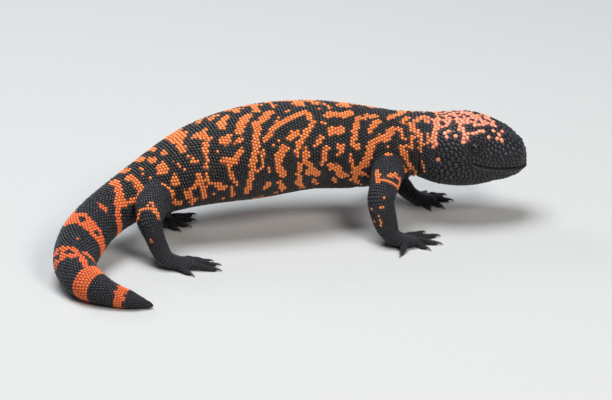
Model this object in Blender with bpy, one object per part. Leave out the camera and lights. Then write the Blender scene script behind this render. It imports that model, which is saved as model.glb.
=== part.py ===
"""A Gila monster in mid stride: the solids of a still, life-size model.

+X points to the head, +Y to the animal's left side and +Z up. The floor is z = 0, and the origin is the
middle of the space it takes on the floor. Sizes are in millimetres and become metres as a mesh is made.
"""

import math

import bmesh
import bpy
import numpy as np

MM = 0.001
GAP = 0.3
FOOTPRINT_MIDDLE = (11.1, -30.4)

# The body from the snout to the end of the tail. Each station holds the middle of a section (x, y, z), its
# half width, its height above the middle, its depth below it, and how square it is (2 is an ellipse).
BODY = {
    "snout tip": (197.3, -13.2, 47.6, 6.0, 6.6, 5.6, 2.0),
    "snout": (194.6, -12.5, 47.6, 11.3, 11.2, 10.0, 2.2),
    "nostrils": (187.0, -11.0, 49.0, 18.0, 16.4, 16.4, 2.3),
    "muzzle": (174.0, -8.0, 52.3, 24.0, 22.5, 22.5, 2.4),
    "eyes": (157.0, -4.0, 54.8, 28.0, 27.0, 27.0, 2.5),
    "jaw": (136.0, 1.0, 56.3, 29.4, 25.7, 26.8, 2.5),
    "occiput": (115.0, 6.0, 59.2, 25.5, 23.4, 24.3, 2.4),
    "neck": (95.0, 10.0, 57.7, 26.5, 27.3, 28.4, 2.3),
    "shoulders": (72.0, 14.0, 57.8, 31.7, 31.1, 31.1, 2.2),
    "ribs": (35.0, 18.0, 61.0, 36.2, 32.8, 32.8, 2.2),
    "paunch": (-10.0, 19.0, 58.6, 39.9, 33.8, 33.8, 2.2),
    "loin": (-50.0, 16.0, 53.3, 35.3, 29.5, 29.5, 2.2),
    "hips": (-88.0, 8.0, 43.2, 26.3, 22.0, 22.0, 2.1),
    "vent": (-113.0, -2.0, 37.0, 20.0, 17.4, 17.4, 2.1),
    "tail root": (-134.0, -16.5, 30.0, 18.2, 17.0, 17.0, 2.0),
    "tail swell": (-151.5, -38.0, 22.6, 17.6, 17.8, 17.8, 2.0),
    "tail middle": (-161.5, -65.5, 15.6, 15.2, 16.0, 16.0, 2.0),
    "tail bend": (-156.0, -92.0, 12.3, 12.7, 12.8, 12.7, 2.0),
    "tail taper": (-142.0, -107.0, 8.6, 9.0, 8.9, 8.8, 2.0),
    "tail thin": (-129.0, -114.5, 5.9, 6.6, 6.4, 6.2, 2.0),
    "tail end": (-115.5, -119.0, 2.3, 1.6, 1.6, 1.6, 2.0),
}
BODY_SIDES = 24
HEAD_SIDES = 28

# Where each length of the body starts and ends, and how far apart its sections are, from the snout tip.
LENGTHS = {
    "neck": ("occiput", "neck", 7.0),
    "trunk_fore": ("neck", "ribs", 9.0),
    "trunk_mid": ("ribs", "loin", 10.0),
    "trunk_hind": ("loin", "vent", 9.0),
    "tail_root": ("vent", "tail swell", 8.0),
    "tail_mid": ("tail swell", "tail bend", 8.0),
    "tail_rear": ("tail bend", "tail thin", 5.0),
    "tail_tip": ("tail thin", "tail end", 3.5),
}

# Swells and hollows of the head, the same on both sides: distance from the snout tip, degrees round from
# the crown, length along the head, spread round it in degrees, and height.
HEAD_RELIEF = {
    "brow": (41.6, 52.0, 10.0, 11.0, 1.5),
    "eye hollow": (42.6, 75.0, 6.5, 10.0, -1.1),
    "snout hollow": (24.6, 66.0, 10.0, 13.0, -0.7),
    "temple": (61.6, 72.0, 12.0, 20.0, 0.7),
    "jowl": (59.6, 118.0, 13.0, 24.0, 0.9),
    "ear hollow": (71.2, 88.0, 4.0, 16.0, -0.8),
}

# The mouth line seen from the side: distance behind the snout tip and height above the floor.
MOUTH_LINE = ((-6.0, 44.3), (2.0, 44.5), (10.0, 44.8), (22.0, 46.4), (34.0, 49.2), (41.0, 51.8))
MOUTH_GAP = 0.4

EYE_AT = (42.0, 72.0)
EYE_RADIUS = 3.6
EYE_INSET = 2.0
EAR_AT = (71.2, 88.0)
EAR_POCKET = (1.9, 4.2, 1.9)
EAR_DRUM = (1.2, 3.0, 0.5)
EAR_DRUM_DEPTH = 0.9
NOSTRIL_AT = (10.8, 52.0)
NOSTRIL_PIT = 1.3

# Limbs from the root inside the trunk to the end of the palm or sole: middle (x, y, z), half width and half
# height of the section, with the hand's or foot's back side up.
RIGHT_ARM = {
    "root": (89.0, -3.0, 51.0, 12.0, 13.0),
    "shoulder": (85.5, -22.0, 48.0, 11.5, 12.5),
    "upper": (80.0, -33.0, 41.5, 10.0, 11.0),
    "elbow": (76.0, -39.5, 33.5, 9.8, 10.2),
    "forearm": (77.2, -43.5, 23.0, 10.0, 9.6),
    "low": (79.0, -46.5, 15.0, 9.4, 8.6),
    "wrist": (82.3, -49.0, 8.6, 8.8, 6.6),
    "palm": (89.0, -50.3, 5.0, 9.6, 5.4),
    "knuckles": (96.5, -49.3, 3.4, 9.4, 3.7),
    "palm end": (101.0, -48.5, 3.2, 6.0, 2.2),
}
LEFT_ARM = {
    "root": (90.0, 24.0, 51.0, 12.0, 13.0),
    "shoulder": (91.0, 43.0, 47.0, 11.5, 12.5),
    "upper": (94.0, 50.0, 40.0, 10.0, 10.8),
    "elbow": (99.5, 49.5, 31.0, 9.6, 9.6),
    "forearm": (107.0, 40.5, 21.5, 9.0, 8.6),
    "low": (113.5, 32.0, 14.0, 8.2, 7.0),
    "wrist": (118.5, 27.5, 8.6, 8.2, 5.8),
    "palm": (125.0, 27.3, 4.8, 9.4, 5.2),
    "knuckles": (132.0, 28.3, 3.4, 9.2, 3.7),
    "palm end": (136.5, 29.0, 3.2, 6.0, 2.2),
}
RIGHT_LEG = {
    "root": (-88.0, 0.0, 43.0, 13.5, 14.5),
    "hip": (-93.0, -17.0, 41.5, 13.0, 14.0),
    "thigh": (-97.5, -28.0, 38.0, 11.4, 12.0),
    "knee": (-99.5, -36.0, 31.5, 9.2, 9.4),
    "shank": (-97.2, -41.0, 22.5, 7.4, 7.6),
    "low": (-94.5, -45.5, 14.5, 6.9, 7.0),
    "ankle": (-91.0, -49.0, 8.2, 7.2, 6.2),
    "sole": (-83.5, -51.0, 4.6, 8.4, 5.0),
    "ball": (-74.5, -52.5, 3.3, 9.0, 3.6),
    "sole end": (-70.0, -53.5, 3.2, 6.0, 2.2),
}
LEFT_LEG = {
    "root": (-88.0, 15.0, 43.0, 13.5, 14.5),
    "hip": (-86.5, 32.0, 41.5, 13.0, 14.0),
    "thigh": (-83.0, 41.0, 38.0, 11.4, 12.0),
    "knee": (-81.5, 44.0, 31.0, 9.2, 9.4),
    "shank": (-84.0, 40.5, 22.5, 7.4, 7.6),
    "low": (-86.5, 35.5, 14.8, 6.8, 6.8),
    "ankle": (-85.8, 31.0, 8.6, 6.6, 5.8),
    "sole": (-79.0, 31.0, 4.6, 8.0, 4.9),
    "ball": (-71.8, 33.5, 3.3, 8.8, 3.6),
    "sole end": (-67.8, 35.5, 3.2, 6.0, 2.2),
}
LIMB_SIDES = 12
LIMB_STEP = 6.5

# Tips of the claws on the floor, from the inner digit to the outer one.
RIGHT_FINGERS = ((114.5, -29.5), (123.5, -39.5), (120.5, -56.5), (108.5, -65.5), (81.5, -73.0))
LEFT_FINGERS = ((129.5, 8.5), (141.5, 11.5), (153.0, 26.0), (151.0, 39.5), (138.5, 49.5))
RIGHT_TOES = ((-61.5, -38.5), (-53.5, -45.5), (-49.5, -55.0), (-51.5, -65.5), (-73.5, -71.5))
LEFT_TOES = ((-65.0, 14.5), (-55.0, 22.5), (-48.5, 34.5), (-46.5, 47.0), (-63.0, 56.5))
# How far from the middle of the knuckles each digit grows, across the hand and along it.
DIGIT_ROOTS = ((-7.2, -4.0), (-4.4, 1.0), (0.0, 2.5), (4.4, 1.0), (6.6, -7.0))
DIGIT_RADIUS = 2.45
DIGIT_SIDES = 8
DIGIT_ARCH = 0.9
DIGIT_FLAT = 0.35
CLAW_LENGTH = 5.2
CLAW_RADIUS = 1.15
CLAW_SIDES = 6
CLAW_GAP = 0.7

# Colour, roughness and metallic value of each finish.
FINISHES = {
    "black hide": ((0.030, 0.028, 0.032), 0.45, 0.0),
    "banded hide": ((0.72, 0.20, 0.055), 0.45, 0.0),
    "claw horn": ((0.028, 0.024, 0.022), 0.35, 0.0),
    "eye": ((0.012, 0.009, 0.008), 0.08, 0.0),
    "eardrum": ((0.020, 0.017, 0.017), 0.55, 0.0),
}


def curve_through(knots, values, at):
    """Read a smooth curve: cubic pieces through the values, with slopes from their neighbours."""
    span = np.diff(knots)
    slope = np.diff(values, axis=0) / span[:, None]
    lean = np.empty_like(values)
    lean[1:-1] = (slope[:-1] * span[1:, None] + slope[1:] * span[:-1, None]) / (span[1:] + span[:-1])[:, None]
    lean[0] = slope[0]
    lean[-1] = slope[-1]
    piece = np.clip(np.searchsorted(knots, at, side="right") - 1, 0, len(knots) - 2)
    width = span[piece][:, None]
    t = (at - knots[piece])[:, None] / width
    return (
        (2 * t**3 - 3 * t**2 + 1) * values[piece]
        + (t**3 - 2 * t**2 + t) * width * lean[piece]
        + (3 * t**2 - 2 * t**3) * values[piece + 1]
        + (t**3 - t**2) * width * lean[piece + 1]
    )


def knots_of(stations):
    """Distances of the stations along the straight lines that join their middles."""
    middles = np.array([station[:3] for station in stations.values()])
    steps = np.linalg.norm(np.diff(middles, axis=0), axis=1)
    return dict(zip(stations, np.concatenate([[0.0], np.cumsum(steps)])))


def spread(start, end, step):
    """Even distances from start to end, about a step apart."""
    return np.linspace(start, end, max(2, round((end - start) / step) + 1))


def sections_of(stations, at):
    """Middles, tangents and sizes of the sections at these distances along a run of stations."""
    knots = np.array(list(knots_of(stations).values()))
    table = np.array(list(stations.values()))
    nudge = 0.05
    sizes = curve_through(knots, table, at)
    ahead = curve_through(knots, table[:, :3], np.minimum(at + nudge, knots[-1]))
    behind = curve_through(knots, table[:, :3], np.maximum(at - nudge, 0.0))
    along = ahead - behind
    along /= np.linalg.norm(along, axis=1)[:, None]
    return sizes[:, :3], along, sizes[:, 3:]


def relief(distance, degrees):
    """Height of the head's swells and hollows at a distance from the snout and an angle from the crown."""
    height = np.zeros(np.broadcast(distance, degrees).shape)
    for place, angle, length, fan, rise in HEAD_RELIEF.values():
        height += rise * np.exp(-(((distance - place) / length) ** 2) - ((np.abs(degrees) - angle) / fan) ** 2)
    return height


def signed_power(value, power):
    """A power that keeps the sign of its value."""
    return np.sign(value) * np.abs(value) ** power


def body_points(at, degrees, swell=0.0):
    """Points of the body's surface: superellipse sections square to the spine, with the head's relief."""
    middle, along, sizes = sections_of(BODY, at)
    rise_axis = np.array([0.0, 0.0, 1.0]) - along * along[:, 2:3]
    rise_axis /= np.linalg.norm(rise_axis, axis=1)[:, None]
    left_axis = np.cross(along, rise_axis)
    width, rise, depth, square = sizes.T[:, :, None]
    angle = np.radians(degrees)[None, :]
    across = signed_power(np.sin(angle), 2 / square)
    upward = signed_power(np.cos(angle), 2 / square)
    height = np.where(upward > 0, rise + swell, depth + swell) * upward
    lateral = (width + swell) * across
    bump = relief(at[:, None], degrees[None, :])
    reach = np.hypot(lateral, height) + 1e-9
    lateral = lateral * (1 + bump / reach)
    height = height * (1 + bump / reach)
    return middle[:, None] + left_axis[:, None] * lateral[..., None] + rise_axis[:, None] * height[..., None]


def tube_faces(rings, sides):
    """Side faces and two end caps of a tube of rings."""
    faces = []
    for ring in range(rings - 1):
        for side in range(sides):
            here, there = ring * sides, (ring + 1) * sides
            turn = (side + 1) % sides
            faces.append((here + side, there + side, there + turn, here + turn))
    faces.append(tuple(range(sides)))
    faces.append(tuple(reversed(range((rings - 1) * sides, rings * sides))))
    return faces


def make_object(name, points, faces, finish):
    """A closed mesh object from points in millimetres, with its own material and faces pointing out."""
    shift = np.array([FOOTPRINT_MIDDLE[0], FOOTPRINT_MIDDLE[1], 0.0])
    mesh = bpy.data.meshes.new(name)
    mesh.from_pydata(((points.reshape(-1, 3) - shift) * MM).tolist(), [], faces)
    rough = bmesh.new()
    rough.from_mesh(mesh)
    bmesh.ops.recalc_face_normals(rough, faces=rough.faces)
    rough.to_mesh(mesh)
    rough.free()
    made = bpy.data.objects.new(name, mesh)
    bpy.context.collection.objects.link(made)
    colour, roughness, metallic = FINISHES[finish]
    material = bpy.data.materials.new(name)
    material.use_nodes = True
    shader = material.node_tree.nodes["Principled BSDF"]
    shader.inputs["Base Color"].default_value = (*colour, 1.0)
    shader.inputs["Roughness"].default_value = roughness
    shader.inputs["Metallic"].default_value = metallic
    mesh.materials.append(material)
    shade(mesh)
    return made


def shade(mesh):
    """Shade round faces smooth and keep edges over 40 degrees sharp."""
    mesh.shade_smooth()
    mesh.set_sharp_from_angle(angle=math.radians(40.0))


def combine(piece, other, operation):
    """Apply a Boolean with the other object to the piece, then remove the other."""
    step = piece.modifiers.new(operation.lower(), "BOOLEAN")
    step.operation = operation
    step.solver = "MANIFOLD" if operation == "UNION" else "EXACT"
    step.object = other
    bpy.context.view_layer.update()
    result = bpy.data.meshes.new_from_object(piece.evaluated_get(bpy.context.evaluated_depsgraph_get()))
    old = piece.data
    piece.modifiers.clear()
    piece.data = result
    result.name = piece.name
    bpy.data.meshes.remove(old)
    spare = other.data
    bpy.data.objects.remove(other)
    bpy.data.meshes.remove(spare)
    shade(result)


def body_length(name, at, sides, finish, swell=0.0):
    """One closed length of the body, through its sections at these distances."""
    degrees = np.arange(sides) * 360.0 / sides - 180.0
    points = body_points(at, degrees, swell)
    return make_object(name, points, tube_faces(len(at), sides), finish)


def rest_on_floor(piece):
    """Cut off what reaches below the floor, which leaves a small flat to stand on."""
    if min(corner[2] for corner in piece.bound_box) < 0.0:
        below, beyond = -20.0, 400.0
        corners = [(x, y, z) for z in (below, 0.0) for x, y in ((-1, -1), (1, -1), (1, 1), (-1, 1))]
        block = np.array(corners, dtype=float) * (beyond, beyond, 1.0)
        combine(piece, make_object("floor block", block, tube_faces(2, 4), "black hide"), "DIFFERENCE")


def surface_frame(distance, degrees):
    """A point of the body's surface, the way out of it, and the way back along it."""
    nudge = 0.5
    at = np.array([distance - nudge, distance, distance + nudge])
    points = body_points(at, np.array([degrees - nudge, degrees, degrees + nudge]))
    back = points[2, 1] - points[0, 1]
    round_it = points[1, 2] - points[1, 0]
    out = np.cross(round_it, back)
    middle = sections_of(BODY, at)[0][1]
    out *= np.sign(out @ (points[1, 1] - middle)) / np.linalg.norm(out)
    back /= np.linalg.norm(back)
    return points[1, 1], out, back


def ellipsoid(name, middle, axes, radii, finish, rings=7, sides=12):
    """A closed ellipsoid of rings round its third axis."""
    tilt = np.linspace(0.02, math.pi - 0.02, rings)[:, None]
    turn = (np.arange(sides) * 2 * math.pi / sides)[None, :]
    unit = np.stack([np.sin(tilt) * np.cos(turn), np.sin(tilt) * np.sin(turn), np.cos(tilt) + 0 * turn], -1)
    points = middle + (unit * np.array(radii)) @ np.array(axes)
    return make_object(name, points, tube_faces(rings, sides), finish)


def mouth_prism(name, lift):
    """The space below the mouth line and in front of its corner, which the lower jaw fills."""
    tip = np.array(BODY["snout tip"][:3])
    back = np.array(BODY["eyes"][:3]) - tip
    back[2] = 0.0
    back /= np.linalg.norm(back)
    side = np.array([-back[1], back[0], 0.0])
    line = [(distance + 1.2 * lift, height + lift) for distance, height in MOUTH_LINE]
    corner = MOUTH_LINE[-1][0] + lift
    outline = [*line[:-1], (corner, line[-1][1]), (corner + 9.0, 0.0), (MOUTH_LINE[0][0], 0.0)]
    half_width = 60.0
    rows = [
        [tip * (1, 1, 0) + back * distance + side * across + np.array([0, 0, height]) for distance, height in outline]
        for across in (-half_width, half_width)
    ]
    return make_object(name, np.array(rows), tube_faces(2, len(outline)), "black hide")


def build_head():
    """The head with its eyes, ears and nostrils, and the lower jaw parted from it along the mouth."""
    end = knots_of(BODY)["occiput"] - GAP
    tip_steps = np.array([0.0, 0.9, 2.2, 4.2, 7.0])
    at = np.concatenate([tip_steps, spread(11.0, end, 6.0)])
    head = body_length("head", at, HEAD_SIDES, "black hide")
    jaw = body_length("jaw", at, HEAD_SIDES, "black hide")
    combine(jaw, mouth_prism("mouth", 0.0), "INTERSECT")
    combine(head, mouth_prism("mouth gap", MOUTH_GAP), "DIFFERENCE")
    for side, turn in (("left", 1.0), ("right", -1.0)):
        place, out, back = surface_frame(EYE_AT[0], turn * EYE_AT[1])
        axes = (back, np.cross(out, back), out)
        middle = place - out * EYE_INSET
        combine(head, ellipsoid("socket", middle, axes, [EYE_RADIUS + GAP] * 3, "eye"), "DIFFERENCE")
        ellipsoid(f"eye_{side}", middle, axes, [EYE_RADIUS] * 3, "eye")
        place, out, back = surface_frame(EAR_AT[0], turn * EAR_AT[1])
        axes = (back, np.cross(out, back), out)
        combine(head, ellipsoid("ear pocket", place, axes, EAR_POCKET, "eardrum"), "DIFFERENCE")
        drum = place - out * EAR_DRUM_DEPTH
        ellipsoid(f"ear_{side}", drum, axes, EAR_DRUM, "eardrum", 5)
        place, out, back = surface_frame(NOSTRIL_AT[0], turn * NOSTRIL_AT[1])
        axes = (back, np.cross(out, back), out)
        combine(head, ellipsoid("nostril", place, axes, [NOSTRIL_PIT] * 3, "black hide", 5, 8), "DIFFERENCE")


def build_body():
    """The neck, the trunk and the tail in lengths, parted by thin gaps square to the spine."""
    knots = knots_of(BODY)
    for name, (first, last, step) in LENGTHS.items():
        end = knots[last] if last == "tail end" else knots[last] - GAP
        rest_on_floor(body_length(name, spread(knots[first], end, step), BODY_SIDES, "banded hide"))


def limb_points(stations, at, sides, swell=0.0):
    """Elliptical sections along a limb, carried back from the palm without twisting."""
    middle, along, sizes = sections_of(stations, at)
    up = np.array([0.0, 0.0, 1.0])
    ups = []
    for direction in along[::-1]:
        up = up - direction * (direction @ up)
        up = up / np.linalg.norm(up)
        ups.append(up)
    ups = np.array(ups[::-1])
    lefts = np.cross(ups, along)
    angle = (np.arange(sides) * 2 * math.pi / sides)[None, :, None]
    across = lefts[:, None] * (sizes[:, None, 0:1] + swell) * np.sin(angle)
    upward = ups[:, None] * (sizes[:, None, 1:2] + swell) * np.cos(angle)
    return middle[:, None] + across + upward


def limb_length(name, stations, start, end, finish, swell=0.0):
    """One closed length of a limb, parted from the next by the gap."""
    knots = knots_of(stations)
    stop = knots[end] if end == list(stations)[-1] else knots[end] - GAP
    at = spread(knots[start], stop, LIMB_STEP)
    onward = spread(stop + 1.0, knots[list(stations)[-1]], 2.0)
    points = limb_points(stations, np.concatenate([at, onward]), LIMB_SIDES, swell)[: len(at)]
    return make_object(name, points, tube_faces(len(at), LIMB_SIDES), finish)


def digit_stations(root, tip):
    """A digit from inside the palm to its claw's tip, arched over its knuckle: middles and radii."""
    reach = np.hypot(*(np.array(tip) - root[:2]))
    claw = 1.0 - CLAW_LENGTH / reach
    shares = (0.0, 0.38 * claw, 0.75 * claw, claw, 1.0)
    radii = np.array([1.0, 1.0, 0.86, 0.72, 0.12]) * DIGIT_RADIUS
    heights = (root[2], radii[1] + DIGIT_ARCH, radii[2] - DIGIT_FLAT, radii[3] - DIGIT_FLAT, radii[4])
    return {
        share: (*(root[:2] + share * (np.array(tip) - root[:2])), height, radius, radius)
        for share, height, radius in zip(shares, heights, radii)
    }


def build_extremity(name, stations, tips, joints, side):
    """A palm or sole with its five digits as one solid, and the five claws."""
    bend, split, ball = joints
    palm = limb_length(name, stations, split, list(stations)[-1], "black hide")
    combine(palm, limb_length("lower space", stations, bend, split, "black hide", swell=GAP), "DIFFERENCE")
    middle = np.array(stations[ball][:3])
    end = np.array(list(stations.values())[-1][:3])
    forward = (end - middle) * (1, 1, 0)
    forward /= np.linalg.norm(forward)
    outer = np.array([-forward[1], forward[0], 0.0]) * side
    for number, (tip, (across, along)) in enumerate(zip(tips, DIGIT_ROOTS), start=1):
        root = middle + outer * across + forward * along + np.array([0.0, 0.0, -0.2])
        digit = digit_stations(root, tip)
        knots = list(knots_of(digit).values())
        claw_start = knots[3]
        at = spread(0.0, claw_start, 4.6)
        points = limb_points(digit, at, DIGIT_SIDES)
        combine(palm, make_object("digit", points, tube_faces(len(at), DIGIT_SIDES), "black hide"), "UNION")
        claw = {
            "base": (*(np.array(digit[list(digit)[3]][:3])), CLAW_RADIUS, CLAW_RADIUS),
            "bend": (*claw_bend(digit), 0.62 * CLAW_RADIUS, 0.62 * CLAW_RADIUS),
            "point": (*digit[1.0][:3], 0.24, 0.24),
        }
        at = spread(CLAW_GAP, knots_of(claw)["point"], 1.5)
        points = limb_points(claw, at, CLAW_SIDES)
        rest_on_floor(make_object(f"claw_{name}_{number}", points, tube_faces(len(at), CLAW_SIDES), "claw horn"))
    rest_on_floor(palm)


def claw_bend(digit):
    """The middle of a claw, raised so that the claw curves down to its point."""
    base, point = (np.array(station[:3]) for station in list(digit.values())[3:])
    return (base + point) / 2 + np.array([0.0, 0.0, 0.55])


def build_limbs():
    """The four limbs: upper and lower lengths, hands and feet, cut back from the trunk."""
    knots = knots_of(BODY)
    limbs = (
        ("right", "arm", RIGHT_ARM, RIGHT_FINGERS, -1.0),
        ("left", "arm", LEFT_ARM, LEFT_FINGERS, 1.0),
        ("right", "leg", RIGHT_LEG, RIGHT_TOES, -1.0),
        ("left", "leg", LEFT_LEG, LEFT_TOES, 1.0),
    )
    names = {"arm": ("upper_arm", "forearm", "hand"), "leg": ("thigh", "shank", "foot")}
    joints = {"arm": ("elbow", "wrist", "knuckles"), "leg": ("knee", "ankle", "ball")}
    for side, kind, stations, tips, turn in limbs:
        upper_name, lower_name, end_name = (f"{name}_{side}" for name in names[kind])
        bend, split, _ = joints[kind]
        upper = limb_length(upper_name, stations, "root", bend, "banded hide")
        at = spread(knots["jaw"], knots["tail middle"], 8.0)
        combine(upper, body_length("trunk space", at, BODY_SIDES, "banded hide", swell=GAP), "DIFFERENCE")
        lower = limb_length(lower_name, stations, bend, split, "black hide")
        combine(lower, limb_length("upper space", stations, "root", bend, "black hide", swell=GAP), "DIFFERENCE")
        rest_on_floor(lower)
        build_extremity(end_name, stations, tips, joints[kind], turn)


def main():
    """Clear the scene and build the animal."""
    for old in list(bpy.data.objects):
        bpy.data.objects.remove(old)
    build_head()
    build_body()
    build_limbs()


main()
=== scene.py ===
"""The looks of a still Gila monster in mid stride: hide, beads, eyes, ear drums and claws over the frame.

Places are first worked out in millimetres in the animal's own frame, +X to the head, +Y to its left and +Z
up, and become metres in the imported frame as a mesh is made. A place on the body is a distance from the snout
tip along the spine and a drop, the way round the section from the back's midline: plus is the right side.
"""

import logging
import math
from dataclasses import dataclass, field
from enum import Enum
from typing import Any

import bpy
import numpy as np
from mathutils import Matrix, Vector
from mathutils.bvhtree import BVHTree
from mathutils.kdtree import KDTree


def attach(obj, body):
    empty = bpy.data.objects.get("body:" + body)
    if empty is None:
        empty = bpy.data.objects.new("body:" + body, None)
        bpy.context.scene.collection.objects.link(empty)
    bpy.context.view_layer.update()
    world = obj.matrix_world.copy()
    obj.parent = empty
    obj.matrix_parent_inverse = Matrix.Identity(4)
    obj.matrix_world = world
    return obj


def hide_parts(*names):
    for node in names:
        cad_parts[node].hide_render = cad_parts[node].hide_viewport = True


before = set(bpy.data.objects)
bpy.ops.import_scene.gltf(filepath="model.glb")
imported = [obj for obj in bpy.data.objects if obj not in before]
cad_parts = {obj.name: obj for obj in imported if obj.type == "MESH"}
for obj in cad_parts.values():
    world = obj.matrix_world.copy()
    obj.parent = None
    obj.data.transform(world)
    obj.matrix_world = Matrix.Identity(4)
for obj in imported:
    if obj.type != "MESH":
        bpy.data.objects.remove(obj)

log = logging.getLogger("gila")

Array = np.ndarray
Pair = tuple[float, float]
Triple = tuple[float, float, float]
Rows = tuple[tuple[float, ...], ...]
Frame = tuple[Array, Array, Array, Array]
MM = 0.001
FOOTPRINT_MIDDLE = (11.1, -30.4, 0.0)
FLOOR_CLEARANCE = 0.03
UP = np.array([0.0, 0.0, 1.0])
SLOPE_STEP = 0.05


class Side(Enum):
    """A side of the animal, as the sign of +Y."""

    LEFT = 1.0
    RIGHT = -1.0


class Region(Enum):
    """A stretch of hide, named as the record's slot for its finish."""

    HEAD = "hide_head"
    BODY = "hide_body"
    TAIL = "hide_tail"
    LIMBS = "hide_limbs"


def curve_through(knots: Array, values: Array, at: Array) -> Array:
    """Read a smooth curve: cubic pieces through the values, with slopes from their neighbours.

    Args:
        knots: distances of the values, rising.
        values: one row for each knot.
        at: distances to read at.

    Returns:
        One row for each distance.
    """
    span = np.diff(knots)
    slope = np.diff(values, axis=0) / span[:, None]
    lean = np.empty_like(values)
    lean[1:-1] = (slope[:-1] * span[1:, None] + slope[1:] * span[:-1, None]) / (span[1:] + span[:-1])[:, None]
    lean[0] = slope[0]
    lean[-1] = slope[-1]
    piece = np.clip(np.searchsorted(knots, at, side="right") - 1, 0, len(knots) - 2)
    width = span[piece][:, None]
    t = (at - knots[piece])[:, None] / width
    return (
        (2 * t**3 - 3 * t**2 + 1) * values[piece]
        + (t**3 - 2 * t**2 + t) * width * lean[piece]
        + (3 * t**2 - 2 * t**3) * values[piece + 1]
        + (t**3 - t**2) * width * lean[piece + 1]
    )


def circle(count: int) -> Array:
    """Even angles round a circle, in radians from 0."""
    return np.arange(count) * 2 * math.pi / count


def ways_along(points: Array) -> Array:
    """Distances from the first point of each row to every point of it, along the straight steps between them.

    Args:
        points: points by row, or one row of points.

    Returns:
        Distances by row and point, each row from 0.
    """
    steps = np.linalg.norm(np.diff(points, axis=-2), axis=-1)
    return np.concatenate([np.zeros_like(steps[..., :1]), np.cumsum(steps, axis=-1)], axis=-1)


def placed(origin: Array, *parts: tuple[Array, Array]) -> Array:
    """Places reached from an origin by going some lengths along some directions.

    Args:
        origin: the place to start from.
        parts: lengths and the direction that each set of them goes along.

    Returns:
        Places in the shape of the lengths.
    """
    for length, direction in parts:
        origin = origin + length[..., None] * direction
    return origin


def unit(vectors: Array) -> Array:
    """Scale vectors along the last axis to length one."""
    return vectors / (np.linalg.norm(vectors, axis=-1, keepdims=True) + 1e-12)


def bell(value: Array, middle: float, width: float) -> Array:
    """A bell of height one round a middle: the exponential of minus the square of the distance in widths."""
    return np.exp(-(((value - middle) / width) ** 2))


def smooth_step(low: float, high: float, value: Array) -> Array:
    """Rise from 0 at low to 1 at high with level ends: three t squared less two t cubed."""
    t = np.clip((value - low) / (high - low), 0.0, 1.0)
    return t * t * (3 - 2 * t)


def mottle(points: Array, size: float) -> Array:
    """A soft blotchy value from -1 to 1: the mean of sines along seven fixed directions.

    Args:
        points: places, three numbers each.
        size: about the width of a blotch, in the places' unit.

    Returns:
        One value for each place.
    """
    turns = np.arange(7)
    lift = np.cos(turns * 2.4 + 0.7)
    ways = np.stack([np.cos(turns * 1.9) * 0.9, np.sin(turns * 1.9) * 0.9, lift * 0.8], -1)
    phase = points @ ways.T * (math.pi / size) * (1 + 0.13 * turns) + turns * 1.7
    return np.clip(np.sin(phase).mean(-1) * 2.2, -1, 1)


@dataclass(frozen=True)
class Run:
    """Stations along a part: the middle of a section (x, y, z), then its sizes."""

    stations: dict[str, tuple[float, ...]]  # by name, in order

    def knots(self) -> dict[str, float]:
        """Distances of the stations along the straight lines that join their middles."""
        middles = np.array([station[:3] for station in self.stations.values()])
        return dict(zip(self.stations, ways_along(middles)))

    def length(self) -> float:
        """Distance from the first station to the last."""
        return list(self.knots().values())[-1]

    def sections(self, at: Array) -> tuple[Array, Array, Array]:
        """Middles, directions along the part, and sizes of its sections.

        Args:
            at: distances along the part.

        Returns:
            Middles, unit directions and sizes, one row for each distance.
        """
        knots = np.array(list(self.knots().values()))
        table = np.array(list(self.stations.values()))
        sizes = curve_through(knots, table, at)
        ahead = curve_through(knots, table[:, :3], np.minimum(at + SLOPE_STEP, knots[-1]))
        behind = curve_through(knots, table[:, :3], np.maximum(at - SLOPE_STEP, 0.0))
        return sizes[:, :3], unit(ahead - behind), sizes[:, 3:]


# Each station holds the middle of a section, its half width, its height above the middle, its depth below it,
# and how square it is (2 is an ellipse).
BODY_STATIONS = {
    "snout tip": (197.3, -13.2, 47.6, 6.0, 6.6, 5.6, 2.0),
    "snout": (194.6, -12.5, 47.6, 11.3, 11.2, 10.0, 2.2),
    "nostrils": (187.0, -11.0, 49.0, 18.0, 16.4, 16.4, 2.3),
    "muzzle": (174.0, -8.0, 52.3, 24.0, 22.5, 22.5, 2.4),
    "eyes": (157.0, -4.0, 54.8, 28.0, 27.0, 27.0, 2.5),
    "jaw": (136.0, 1.0, 56.3, 29.4, 25.7, 26.8, 2.5),
    "occiput": (115.0, 6.0, 59.2, 25.5, 23.4, 24.3, 2.4),
    "neck": (95.0, 10.0, 57.7, 26.5, 27.3, 28.4, 2.3),
    "shoulders": (72.0, 14.0, 57.8, 31.7, 31.1, 31.1, 2.2),
    "ribs": (35.0, 18.0, 61.0, 36.2, 32.8, 32.8, 2.2),
    "paunch": (-10.0, 19.0, 58.6, 39.9, 33.8, 33.8, 2.2),
    "loin": (-50.0, 16.0, 53.3, 35.3, 29.5, 29.5, 2.2),
    "hips": (-88.0, 8.0, 43.2, 26.3, 22.0, 22.0, 2.1),
    "vent": (-113.0, -2.0, 37.0, 20.0, 17.4, 17.4, 2.1),
    "tail root": (-134.0, -16.5, 30.0, 18.2, 17.0, 17.0, 2.0),
    "tail swell": (-151.5, -38.0, 22.6, 17.6, 17.8, 17.8, 2.0),
    "tail middle": (-161.5, -65.5, 15.6, 15.2, 16.0, 16.0, 2.0),
    "tail bend": (-156.0, -92.0, 12.3, 12.7, 12.8, 12.7, 2.0),
    "tail taper": (-142.0, -107.0, 8.6, 9.0, 8.9, 8.8, 2.0),
    "tail thin": (-129.0, -114.5, 5.9, 6.6, 6.4, 6.2, 2.0),
    "tail end": (-115.5, -119.0, 2.3, 1.6, 1.6, 1.6, 2.0),
}
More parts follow.
